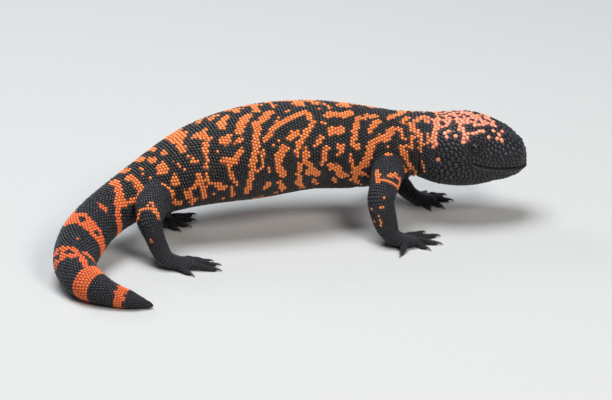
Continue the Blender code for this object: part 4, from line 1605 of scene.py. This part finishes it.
@dataclass
class BeadSower:
    """Lays out the beads: rows round the body and limbs, and cobbles on the head."""

    body: Body
    limbs: list[Extremity]
    eyes: list[EyeSet]
    mouth: MouthLine
    surface: BVHTree  # the skin and lids
    skin: Sheet
    labels: Array  # region, distance and drop of the skin's points
    bead: float = 2.6
    belly: float = 3.1
    limb_bead: float = 2.05
    digit_bead: float = 1.6
    limb_relief: float = 0.34  # height as a share of width
    fine: int = 72  # points in a ring that beads are measured out on
    pitch: float = 0.87  # of the rows, as a share of a bead's width
    back_share: float = 0.68  # of the half section, above the belly's beads
    head_end: float = 79.0  # where rows take over
    trunk_end: float = 330.0  # where the belly's beads end
    seed: int = 7
    throws: int = 14000  # random places tried in a round
    rounds: tuple[int, int] = (3, 6)  # of throwing, and of easing after each
    throw_room: float = 0.42  # gap that a thrown cobble needs, as a share of two widths
    eased_room: Pair = (0.515, 0.35)  # gap that easing works towards, and its share of the way
    under: float = -0.4  # depth under the solids where head places are looked for
    # Ear's half length and half height, nostril's and eye's radius.
    clear: tuple[float, float, float, float] = (2.3, 4.6, 2.0, 7.4)
    # Openings that easing keeps free, with half length and half height.
    kept_out: tuple[tuple[Pair, float, float], ...] = (
        (NOSTRIL_AT, 2.2, 2.2), (EAR_AT, 2.6, 5.0), (EYE_AT, 8.0, 7.0),
    )
    # Place above the mouth line, width and start.
    lip_scales: Rows = (
        (2.1, 3.6, 0.5), (-1.9, 3.9, 0.5), (4.9, 3.3, 0.0), (-4.7, 3.4, 0.0),
    )
    # Along the body, round it in degrees, and on the limbs.
    jitter: Triple = (0.16, 0.35, 0.05)
    # Height of the back's beads, and how much lower the belly's are.
    relief: Pair = (0.35, 0.17)
    # Small cobbles, others, lip scales and lid beads.
    cobble_relief: tuple[float, float, float, float] = (0.32, 0.25, 0.15, 0.30)
    off_skin: float = 1.7  # farther places are inside another part
    # Least gap as a share of two widths, in one part and between two.
    crowded: Pair = (0.29, 0.42)

    def body_rows(self) -> Seeds:
        """Rows round the neck, trunk and tail, from the back's midline down, each half a bead off the last.

        Returns:
            The seeds, on the solids' surface.
        """
        rng = np.random.default_rng(self.seed)
        end = self.body.length()
        at = [self.head_end]
        while (onward := at[-1] + self.pitch * self.bead_width(at[-1])) < end - 0.8:
            at.append(onward)
        fan, ways = self.body.arcs(np.array(at))
        rows = []
        for index, (place, way) in enumerate(zip(at, ways)):
            width = self.bead_width(place)
            half = way[-1]
            edge = half * self.back_share if place < self.trunk_end else half
            drops = (np.arange(int(edge / width) + 1) + 0.5 * (index % 2)) * width
            drops = drops[drops < edge]
            wide = np.full(len(drops), width)
            if place < self.trunk_end:
                low = half - (np.arange(int((half - edge) / self.belly) + 1) + 0.5) * self.belly
                low = low[low > edge + 0.3 * width]
                drops = np.concatenate([drops, low])
                wide = np.concatenate([wide, np.full(len(low), self.belly)])
            other = drops > 0.01
            drops, wide = np.concatenate([drops, -drops[other]]), np.concatenate([wide, wide[other]])
            angle = np.interp(np.abs(drops), way, fan) * -np.sign(drops)
            rows.append(np.column_stack([np.full(len(drops), place), angle, drops, wide]))
        distance, angle, drops, wide = np.concatenate(rows).T
        low = np.clip((np.abs(drops) - 50.0) / 20.0, 0.0, 1.0) * (distance < self.trunk_end)
        distance = distance + rng.normal(0.0, self.jitter[0], len(distance))
        angle = (angle + rng.normal(0.0, self.jitter[1], len(angle)))[:, None]
        point = self.body.points(distance, angle)[:, 0]
        back = unit(self.body.points(np.minimum(distance + 0.5, end), angle)[:, 0] - point)
        zero = np.zeros(len(wide))
        return Seeds(point, back, wide, self.relief[0] - self.relief[1] * low, zero, distance, drops, zero)

    def bead_width(self, distance: float) -> float:
        """Width of the rows' beads at a distance from the snout tip: small on the neck and the tail's end."""
        places = (78.0, 100.0, 130.0, 330.0, 430.0, self.body.length())
        return float(np.interp(distance, places, (2.3, 2.45, self.bead, 2.7, 2.5, 1.7)))

    def limb_rows(self) -> Seeds:
        """Rows round each limb and digit.

        Returns:
            The seeds, on the solids' surface.
        """
        rng = np.random.default_rng(self.seed + 1)
        parts = []
        for number, end in enumerate(self.limbs, start=1):
            runs = [(end.limb, end.limb.length(), self.limb_bead, 1.0, 0.0)]
            for index, digit in enumerate(end.digits(), start=1):
                runs.append((digit, digit.knots()["claw"] - 0.1, self.digit_bead, 2.0, 60.0 + 25.0 * index))
            for run, stop, width, rank, shift in runs:
                at = np.arange(0.8, stop, self.pitch * width)
                rings = run.points(at, self.fine)
                closed = np.concatenate([rings, rings[:, :1]], axis=1)
                places, backs, drops, distances = [], [], [], []
                for index, way in enumerate(ways_along(closed)):
                    count = max(5, round(way[-1] / width))
                    turn = (np.arange(count) + 0.5 * (index % 2)) * way[-1] / count
                    turn += rng.normal(0.0, self.jitter[2] * width, count)
                    spot = np.interp(turn % way[-1], way, np.arange(self.fine + 1))
                    low = spot.astype(int) % self.fine
                    part = (spot - spot.astype(int))[:, None]
                    places.append(closed[index, low] * (1 - part) + closed[index, low + 1] * part)
                    onward, before = min(index + 1, len(at) - 1), max(index - 1, 0)
                    backs.append(unit(closed[onward, low] - closed[before, low]))
                    drops.append(turn)
                    distances.append(np.full(count, at[index] + shift))
                columns = [np.concatenate(rows) for rows in (places, backs, distances, drops)]
                point, back, distance, drop = columns
                same = (width, self.limb_relief, float(number), rank)
                wide, tall, region, ranks = (np.full(len(point), value) for value in same)
                parts.append(Seeds(point, back, wide, tall, region, distance, drop, ranks))
        return Seeds.gather(parts)

    def head_width(self, distance: Array, degrees: Array) -> Array:
        """Width of the head's cobbles: large on snout and jowl, small round the eyes and on the throat.

        Args:
            distance: distances from the snout tip.
            degrees: angles from the crown.

        Returns:
            Widths in millimetres.
        """
        side = np.abs(degrees)
        width = 2.95 + 1.1 * bell(distance, 14.0, 13.0) * (side < 80)
        width += 1.5 * bell(distance, 60.0, 11.0) * bell(side, 100.0, 26.0)
        width -= 0.9 * bell(distance, EYE_AT[0], 7.0) * bell(side, EYE_AT[1], 14.0)
        width -= 0.6 * smooth_step(66.0, 79.0, distance)
        width -= 0.3 * smooth_step(125.0, 150.0, side)
        return width - 1.0 * bell(distance, EAR_AT[0], 3.5) * bell(side, EAR_AT[1], 14.0)

    def lip_rows(self) -> Array:
        """The long scales of both lips: even steps along the mouth's line round the snout, moved up and down.

        Returns:
            Places, with each scale's width in the fourth column.
        """
        corner = self.mouth.corner
        at = np.linspace(0.6, corner + 8.0, 90)
        rows = []
        for lift, width, start in self.lip_scales:
            lines = []
            for side in Side:
                ring = self.body.points(at, np.linspace(40.0, 175.0, 271) * side.value, self.under)
                away, above = self.mouth.height(ring)
                row = np.arange(len(at)), np.abs(above - lift).argmin(axis=1)
                lines.append(ring[row][away[row] < corner - 1.5])
            contour = np.concatenate([lines[0][::-1], lines[1]])
            way = ways_along(contour)
            count = round(way[-1] / width)
            places = (np.arange(count) + start) * way[-1] / count
            place = np.stack([np.interp(places, way, contour[:, axis]) for axis in range(3)], -1)
            rows.append(np.column_stack([place, np.full(count, width)]))
        return np.concatenate(rows)

    def head_cobbles(self) -> Seeds:
        """Cobbles of the head: set rings and rows first, then random places where there is room, eased apart.

        Returns:
            The seeds.
        """
        rng = np.random.default_rng(self.seed + 2)
        fixed = np.concatenate([self.lip_rows()] + [eye.seeds() for eye in self.eyes])
        kept = np.vstack([fixed, self.spots()])
        for _ in range(self.rounds[0]):
            kept = self.thrown(kept, rng)
            free = np.arange(len(kept)) >= len(fixed)
            for _ in range(self.rounds[1]):
                kept[:, :3] = self.eased(kept, free)
                for side in Side:
                    kept[:, :3] = self.pushed_out(kept[:, :3], side, free)
        nearest = nearest_of(self.skin.points, kept[:, :3])[0]
        place, wide = self.settled(kept[:, :3])[0], kept[:, 3]
        distance, drop = self.labels[nearest, 1:].T
        along = self.body.sections(np.clip(distance, 0.6, None))[1]
        small, large, lip, lid = self.cobble_relief
        tall = np.where(wide < 1.6, small, large)
        tall[: len(fixed)] = np.where(fixed[:, 3] > 2.0, lip, lid)
        return Seeds(place, along, wide, tall, np.zeros(len(kept)), distance, drop, np.where(free, 0.5, -1.0))

    def thrown(self, kept: Array, rng: np.random.Generator) -> Array:
        """Add random places on the head, each kept where there is room.

        Args:
            kept: places and widths so far.
            rng: random numbers.

        Returns:
            All places and widths.
        """
        distance = rng.uniform(0.3, self.head_end, self.throws)
        degrees = rng.uniform(-180.0, 180.0, self.throws)
        point = self.body.points(distance, degrees[:, None], self.under)[:, 0]
        width = self.head_width(distance, degrees)
        away, above = self.mouth.height(point)
        clear = (np.abs(above) > 6.0) | (away > self.mouth.corner - 2.0)
        for side in Side:
            clear &= self.outside_openings(point, side)
        for place, wide in zip(point[clear], width[clear]):
            gap = np.linalg.norm(kept[:, :3] - place, axis=1) - self.throw_room * (kept[:, 3] + wide)
            if gap.min() > 0.0:
                kept = np.vstack([kept, [*place, wide]])
        return kept

    def spots(self) -> Array:
        """Cobbles at the head's single light and dark spots, so that each spot has one of its own.

        Returns:
            Places, with each cobble's width in the fourth column.
        """
        table = np.array([band[:3] for band in HEAD_BANDS + HEAD_DARKS if len(band) == 3])
        distance = table[:, 1] + MARKS_START
        fan, ways = self.body.arcs(distance)
        degrees = np.array([np.interp(drop, way, fan) for drop, way in zip(np.abs(table[:, 2]), ways)])
        degrees *= -np.copysign(1.0, table[:, 2])
        point = self.body.points(distance, degrees[:, None], self.under)[:, 0]
        return np.column_stack([point, self.head_width(distance, degrees)])

    def outside_openings(self, point: Array, side: Side) -> Array:
        """Whether places are clear of the eye, the ear and the nostril of a side.

        Args:
            point: the places.
            side: the side of the head.

        Returns:
            Whether each is clear.
        """
        place, out, back, up = self.body.frame_at(EAR_AT, side)
        arm = point - place
        half_length, half_height, nostril, eye = self.clear
        ear = (np.abs(arm @ out) < 5.0) & (np.hypot(arm @ back / half_length, arm @ up / half_height) < 1.0)
        for place, radius in ((NOSTRIL_AT, nostril), (EYE_AT, eye)):
            ear |= np.linalg.norm(point - self.body.frame_at(place, side)[0], axis=1) <= radius
        return ~ear

    def pushed_out(self, point: Array, side: Side, free: Array) -> Array:
        """Move free places that have drifted into an eye, ear or nostril back out of it.

        Args:
            point: the places.
            side: the side of the head.
            free: whether each may move.

        Returns:
            The new places.
        """
        moved = point.copy()
        for opening, half_length, half_height in self.kept_out:
            place, out, back, up = self.body.frame_at(opening, side)
            arm = moved - place
            x, y = arm @ back, arm @ up
            reach = np.hypot(x / half_length, y / half_height)
            inside = (reach < 1.0) & (np.abs(arm @ out) < 6.0) & free
            push = (1.0 / np.maximum(reach, 0.05) - 1.0)[:, None] * (x[:, None] * back + y[:, None] * up)
            moved[inside] += push[inside]
        return moved

    def eased(self, kept: Array, free: Array) -> Array:
        """Move each free place away from neighbours nearer than their mean width, and set it on the skin.

        Args:
            kept: places and widths.
            free: whether each may move.

        Returns:
            The new places.
        """
        near = neighbours(kept[:, :3], 8)
        room, share = self.eased_room
        arm = kept[:, None, :3] - kept[near, :3]
        reach = np.linalg.norm(arm, axis=-1) + 1e-6
        lack = np.clip(room * (kept[:, None, 3] + kept[near, 3]) - reach, 0.0, None)
        push = (lack / reach)[..., None] * arm
        moved = kept[:, :3] + share * push.sum(1) * free[:, None]
        moved[free] = self.settled(moved[free])[0]
        return moved

    def settled(self, places: Array) -> tuple[Array, Array]:
        """Set places on the skin.

        Args:
            places: places near it.

        Returns:
            The nearest places on it, and the ways out of it there.
        """
        found = [self.surface.find_nearest(place) for place in places.tolist()]
        return np.array([hit[0] for hit in found]), np.array([hit[1] for hit in found])

    def sow(self) -> tuple[Seeds, Array]:
        """All beads on the skin, without those inside another part or crowding another.

        Returns:
            The seeds, and the way out of the skin at each.
        """
        seeds = Seeds.gather([self.head_cobbles(), self.body_rows(), self.limb_rows()])
        place, out = self.settled(seeds.point)
        on_skin = np.linalg.norm(place - seeds.point, axis=1) < self.off_skin
        seeds.point = place
        seeds, out = seeds.keep(on_skin), out[on_skin]
        near = neighbours(seeds.point, 6)
        reach = np.linalg.norm(seeds.point[:, None] - seeds.point[near], axis=-1)
        apart = np.where(seeds.region[:, None] == seeds.region[near], *self.crowded)
        room = apart * (seeds.width[:, None] + seeds.width[near])
        order = seeds.rank + np.arange(len(seeds.rank)) * 1e-7
        crowded = ((reach < room) & (order[:, None] > order[near])).any(1)
        return seeds.keep(~crowded), out[~crowded]


def neighbours(points: Array, count: int) -> Array:
    """Numbers of the nearest other points.

    Args:
        points: the points.
        count: how many to find for each.

    Returns:
        Numbers by point.
    """
    tree = tree_of(points)
    return np.array([[hit[1] for hit in tree.find_n(place, count + 1)[1:]] for place in points.tolist()])


@dataclass
class Coat:
    """The beads as meshes: each a dome on the outline that its neighbours leave it."""

    seeds: Seeds
    out: Array  # the way out of the skin
    surface: BVHTree
    markings: Markings
    mouth: MouthLine
    directions: int = 12
    groove: float = 0.13  # to the half way between beads
    mouth_gap: float = 0.65  # from a lip scale to the mouth line
    stray: float = 0.15  # share of dark cobbles in the crown's light
    sunk: float = 0.28  # depth of the rims in the skin
    patch: float = 0.003  # width of a bead in the UV map
    # Shares of reach and height; the rim is sunk.
    rings: Rows = ((1.0, -1.0), (0.93, 0.42), (0.60, 0.86))
    rises: tuple[float, ...] = (0.0, 0.55, 0.95, 1.0)  # stored on the rings and the top; the low rim takes the finish's painted shade
    reach: Pair = (0.85, 0.18)  # most, as a share of width, and least
    heights: Pair = (0.86, 1.12)  # range of the random factor
    ragged: Triple = (0.45, 0.45, 0.1)  # spread of the edge, then blur on body and head
    tones: Pair = (0.35, 0.30)  # mean and spread

    def outlines(self, back: Array, side: Array) -> tuple[Array, Array]:
        """How far each bead reaches in each direction: a soft least of the half ways to its neighbours.

        The half way is shared by the widths. Towards a neighbour it is d over the cosine of the angle off the
        neighbour's way, and the soft least is a power mean, which rounds the corners.

        Args:
            back: unit way back at each bead.
            side: unit way across at each bead.

        Returns:
            Reaches by bead and direction, and the directions' angles.
        """
        point, width = self.seeds.point, self.seeds.width
        near = neighbours(point, 11)
        arm = point[near] - point[:, None]
        x = np.einsum("ijk,ik->ij", arm, back)
        y = np.einsum("ijk,ik->ij", arm, side)
        apart = np.hypot(x, y) + 1e-6
        share = width[:, None] / (width[:, None] + width[near])
        share = 0.5 + 0.8 * (share - 0.5)
        angle = circle(self.directions)
        facing = (x[..., None] * np.cos(angle) + y[..., None] * np.sin(angle)) / apart[..., None]
        least, far, power = 0.12, 50.0, 9.0
        limit = np.where(facing > least, (apart * share)[..., None] / np.maximum(facing, least), far)
        own = np.broadcast_to(self.reach[0] * width[:, None, None], (len(width), 1, len(angle)))
        limit = np.concatenate([limit, own], axis=1)
        reach = (limit**-power).sum(1) ** (-1 / power)
        return np.clip(reach - self.groove, self.reach[1], None), angle

    def clear_of_mouth(self, reach: Array, spread: Array) -> Array:
        """Shorten reaches that would cross the mouth line, so that it stays open between the lips.

        Args:
            reach: reaches by bead and direction.
            spread: unit ways by bead and direction.

        Returns:
            The new reaches.
        """
        away, start = self.mouth.height(self.seeds.point)
        end = self.mouth.height(self.seeds.point[:, None] + spread * reach[..., None])[1]
        end = end * np.sign(start)[:, None]
        start = np.abs(start)[:, None]
        near = (self.seeds.region == 0) & (self.seeds.distance < 60.0) & (away < self.mouth.corner)
        share = np.clip((start - self.mouth_gap) / np.maximum(start - end, 1e-6), 0.05, 1.0)
        return np.where(near[:, None] & (end < self.mouth_gap), reach * share, reach)

    def build(self, materials: dict[Region, bpy.types.Material]) -> None:
        """Build every bead, gather them into pieces, dress them and let them ride.

        Args:
            materials: the finish of each region's hide.
        """
        seeds, out = self.seeds, self.out
        end_on = np.abs(np.einsum("ij,ij->i", seeds.back, out)) > 0.8
        way = np.where(end_on[:, None], UP, seeds.back)
        back = unit(way - out * np.einsum("ij,ij->i", way, out)[:, None])
        side = np.cross(out, back)
        reach, angle = self.outlines(back, side)
        rng = np.random.default_rng(11)
        tall = seeds.width * seeds.height * rng.uniform(*self.heights, len(reach))
        tall = np.minimum(tall, 1.1 * reach.mean(1))
        spread = np.cos(angle)[None, :, None] * back[:, None] + np.sin(angle)[None, :, None] * side[:, None]
        reach = self.clear_of_mouth(reach, spread)
        flat = seeds.point[:, None] + spread * reach[..., None]
        fall = self.set_down(flat) - flat
        layers = []
        for scale, height in self.rings:
            lift = np.full_like(tall, -self.sunk) if height < 0 else tall * height
            ring = seeds.point[:, None] + spread * (reach * scale)[..., None] + fall * scale**2
            layers.append(ring + out[:, None] * lift[:, None, None])
        apex = (seeds.point + out * tall[:, None])[:, None]
        points = np.concatenate([*layers, apex], axis=1)
        points[..., 2] = np.maximum(points[..., 2], FLOOR_CLEARANCE)
        self.pieces(points, rng, materials)

    def set_down(self, flat: Array) -> Array:
        """Set the rims' points on the skin, moving each at most half a millimetre.

        Args:
            flat: the rims' points.

        Returns:
            The new points.
        """
        found = [self.surface.find_nearest(place)[0] for place in flat.reshape(-1, 3).tolist()]
        move = np.array(found).reshape(flat.shape) - flat
        return flat + move * np.minimum(1.0, 0.5 / (np.linalg.norm(move, axis=-1, keepdims=True) + 1e-9))

    def faces(self) -> list[Array]:
        """Corner numbers of one bead's faces: the bands between its rings, a cap of triangles and the base.

        Returns:
            Tables of corners, each with one size of face.
        """
        n, top = self.directions, (len(self.rings) - 1) * self.directions
        here = np.arange(n)
        cap = np.stack([top + here, top + (here + 1) % n, np.full(n, top + n)], -1)
        return [strip_faces(len(self.rings), n)[:, [0, 3, 2, 1]], cap, here[::-1][None]]

    def groups(self) -> list[tuple[str, Region, Array]]:
        """The coat's pieces, cut by distance along the body, then one for each limb.

        Returns:
            Name, region and which beads belong to the piece.
        """
        names = ["head", *[f"trunk_{index}" for index in range(1, 8)], "tail_root", "tail_end"]
        cuts = (-math.inf, 84, 122, 158, 194, 230, 268, 310, 335, 390, math.inf)
        regions = {"head": Region.HEAD, "trunk": Region.BODY, "tail": Region.TAIL}
        s, part = self.seeds.distance, self.seeds.region
        made = [(f"beads_{name}", regions[name.split("_")[0]], (part == 0) & (s >= low) & (s < high))
                for name, low, high in zip(names, cuts[:-1], cuts[1:])]
        for number, name in enumerate(("arm_right", "arm_left", "leg_right", "leg_left"), start=1):
            made.append((f"beads_{name}", Region.LIMBS, part == number))
        return made

    def pieces(
        self, points: Array, rng: np.random.Generator, materials: dict[Region, bpy.types.Material],
    ) -> None:
        """Make one object of each group of beads.

        Args:
            points: points by bead.
            rng: random numbers for the beads' tones.
            materials: the finish of each region's hide.
        """
        seeds = self.seeds
        stored = self.stored(rng)
        bead = Sheet.of_faces(points[0], self.faces())
        count = len(bead.points)
        angle = circle(self.directions)
        spots = [np.stack([np.cos(angle), np.sin(angle)], -1) * scale for scale, _ in self.rings]
        petals = np.concatenate([*spots, [[0.0, 0.0]]]) * (self.patch / 2)
        rise = np.repeat(self.rises, [self.directions] * len(self.rings) + [1])
        for name, region, chosen in self.groups():
            number = int(chosen.sum())
            place = np.stack([seeds.distance[chosen], seeds.drop[chosen]], -1)
            low, high = place.min(0), place.max(0)
            chart = 0.02 + 0.96 * (place - low) / max(high - low)
            shift = (np.arange(number) * count)[:, None]
            numbers = {label: np.repeat(values[chosen], count) for label, values in stored.items()}
            numbers["rise"] = np.tile(rise, number)
            corners, sizes = (bead.corners + shift).ravel(), np.tile(bead.sizes, number)
            chart = (chart[:, None] + petals).reshape(-1, 2)
            piece = Sheet(points[chosen].reshape(-1, 3), corners, sizes, numbers, chart).build(name)
            piece.data.materials.append(materials[region])
            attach(piece, "root")
            log.info("%s: %d beads, %d triangles", name, number, number * int((bead.sizes - 2).sum()))

    def stored(self, rng: np.random.Generator) -> dict[str, Array]:
        """The numbers that the finish reads, by bead.

        Each bead is light or dark, a little at random at the edge of a marking. Some light ones of the crown
        turn dark, and those of the lower lip take the paler tone as a painted sheen.

        Args:
            rng: random numbers.

        Returns:
            Mark, warmth and tone.
        """
        seeds = self.seeds
        outside = self.markings.outside(seeds.region, seeds.distance, seeds.drop, seeds.point)
        spread, body_blur, head_blur = self.ragged
        ragged = rng.normal(0.0, spread, len(outside))
        head = (seeds.region == 0) & (seeds.distance < 76.0)
        outside[head & (outside < -1.6) & (rng.random(len(outside)) < self.stray)] = 9.0
        blur = np.where(head, head_blur, body_blur)
        mark = 1.0 - smooth_step(-blur, blur, outside + np.where(head, 0.0, ragged))
        tone = np.clip(rng.normal(*self.tones, len(mark)), 0.0, 1.0)
        away, above = self.mouth.height(seeds.point)
        # Painted sheen: the lower lip's beads take the paler tone.
        tone[head & (away < self.mouth.corner) & (above < 0.0) & (above > -3.4)] = 1.0
        return {"mark": mark, "warmth": warmth_at(seeds.distance, seeds.region), "tone": tone}


def warmth_at(distance: Array, region: Array) -> Array:
    """How red the light pigment is: 0 on the head, half on the flank and limbs, 1 on the tail.

    Args:
        distance: distances from the snout tip.
        region: numbers of the places' parts, 0 for the body.

    Returns:
        One value for each place.
    """
    along = np.interp(distance, (55.0, 95.0, 300.0, 360.0), (0.0, 0.45, 0.55, 1.0))
    return np.where(region == 0, along, 0.55)


@dataclass(frozen=True)
class Studio:
    """Pale floor, soft light from above and the camera at the photo's angle."""

    camera_at: Triple = (-0.5602, -2.2846, 0.9874)
    tilt: float = 68.0  # degrees from straight down
    turn: float = -14.0  # degrees about the vertical
    lens: float = 200.0  # millimetres
    floor_half: float = 9.0  # metres
    floor_tiles: int = 8
    # Name, place, width, power and colour.
    panels: tuple[tuple, ...] = (
        ("sky panel", (-0.3, 0.1, 2.1), 1.2, 56.0, (0.86, 0.93, 1.0)),
        ("window panel", (0.7, -1.9, 1.7), 0.8, 42.0, (1.0, 0.97, 0.93)),
        ("back panel", (-1.0, 1.8, 1.2), 0.8, 12.0, (0.88, 0.94, 1.0)),
    )
    air: tuple = paint(0.80, 0.87, 1.0)
    air_strength: float = 0.12

    def build(self) -> None:
        """Make the floor, the lights and the camera."""
        steps = np.linspace(-self.floor_half, self.floor_half, self.floor_tiles + 1)
        x, y = np.meshgrid(steps, steps, indexing="ij")
        points = np.stack([x, y, 0 * x], -1).reshape(-1, 3)
        quads = strip_faces(len(steps), len(steps), closed=False)
        floor = Sheet.of_faces(points / MM + np.array(FOOTPRINT_MIDDLE), [quads]).build("floor")
        floor.data.materials.append(STUDIO_FLOOR.material())
        for panel in self.panels:
            self.light(*panel)
        world = bpy.data.worlds.new("studio air")
        world.use_nodes = True
        air = world.node_tree.nodes["Background"].inputs
        air["Color"].default_value, air["Strength"].default_value = self.air, self.air_strength
        bpy.context.scene.world = world
        bpy.context.scene.view_settings.view_transform = "Standard"
        lens = bpy.data.cameras.new("camera")
        lens.lens, lens.clip_end = self.lens, 40.0
        camera = bpy.data.objects.new("camera", lens)
        camera.location = self.camera_at
        camera.rotation_euler = (math.radians(self.tilt), 0.0, math.radians(self.turn))
        bpy.context.scene.collection.objects.link(camera)
        bpy.context.scene.camera = camera

    @staticmethod
    def light(name: str, at: Triple, size: float, power: float, colour: tuple) -> None:
        """Add a square soft light that faces the model.

        Args:
            name: the light's name.
            at: its place in metres.
            size: its width in metres.
            power: its power in watts.
            colour: its colour.
        """
        lamp = bpy.data.lights.new(name, "AREA")
        lamp.size, lamp.energy, lamp.color = size, power, colour
        made = bpy.data.objects.new(name, lamp)
        made.location = at
        made.rotation_euler = (Vector((0.0, 0.0, 0.04)) - Vector(at)).to_track_quat("-Z", "Y").to_euler()
        bpy.context.scene.collection.objects.link(made)


def bare_hide(sheet: Sheet, labels: Array, markings: Markings, mouth: MouthLine) -> None:
    """Store the pattern on the skin's points, with a low rise for the painted groove shade, and a painted
    sheen on the lower lip.

    Args:
        sheet: the skin.
        labels: each point's region number, distance and drop.
        markings: the pattern.
        mouth: the mouth line.
    """
    region, distance, drop = labels.T
    outside = markings.outside(region, distance, drop, sheet.points)
    sheet.stored = plain_labels(len(sheet.points), 0.12)
    sheet.stored.update(mark=1.0 - smooth_step(-0.6, 0.6, outside), warmth=warmth_at(distance, region))
    away, above = mouth.height(sheet.points)
    # Painted sheen: the lower lip's skin takes the paler tone and a high rise, which keeps the painted groove
    # shade off it.
    lip = (region == 0) & (distance < 55.0) & (away < mouth.corner) & (above < -0.5) & (above > -2.6)
    sheet.stored["tone"][lip] = 1.0
    sheet.stored["rise"][lip] = 0.8


def surface_of(sheets: list[Sheet]) -> BVHTree:
    """A search tree over the faces of several sheets, in millimetres.

    Args:
        sheets: the sheets.

    Returns:
        The tree.
    """
    points, faces, shift = [], [], 0
    for sheet in sheets:
        starts = np.concatenate([[0], np.cumsum(sheet.sizes)])
        corners = (sheet.corners + shift).tolist()
        faces += [corners[start:stop] for start, stop in zip(starts[:-1], starts[1:])]
        points += sheet.points.tolist()
        shift += len(sheet.points)
    return BVHTree.FromPolygons(points, faces)


def main() -> None:
    """Build the animal's classes in order, then the studio."""
    logging.basicConfig(level=logging.INFO, format="%(name)s: %(message)s")
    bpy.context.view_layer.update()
    body, limbs, mouth, markings = Body(), extremities(), MouthLine(), Markings()
    # Warm black and grey for the body; the other regions keep the painted bluish sky reflection.
    warm = {"black": paint(0.0105, 0.0078, 0.0072), "grey": paint(0.032, 0.026, 0.026)}
    finishes = {}
    for region in Region:
        own = warm if region is Region.BODY else {}
        finishes[region] = HideFinish(region.value.replace("_", " "), **own).material()
    skin, labels = Hide(body, limbs, mouth).build()
    bare_hide(skin, labels, markings, mouth)
    piece = skin.build("hide")
    piece.data.materials.append(finishes[Region.BODY])
    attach(piece, "root")
    flesh = ["head", "jaw", "neck", "trunk_fore", "trunk_mid", "trunk_hind"]
    flesh += ["tail_root", "tail_mid", "tail_rear", "tail_tip"]
    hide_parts(*flesh, *[node for end in limbs for node in end.nodes])
    log.info("hide: %d faces", len(piece.data.polygons))
    eyes = [EyeSet(body, side) for side in Side]
    for eye in eyes:
        eye.dress(finishes[Region.HEAD])
    for side in Side:
        EarDrum(body, side).dress()
    claw_horn = CLAW_HORN.material()
    for end in limbs:
        Claws(end).dress(claw_horn)
    surface = surface_of([skin, *[eye.lids() for eye in eyes]])
    seeds, out = BeadSower(body, limbs, eyes, mouth, surface, skin, labels).sow()
    Coat(seeds, out, surface, markings, mouth).build(finishes)
    Studio().build()


if __name__ == "__main__":
    main()
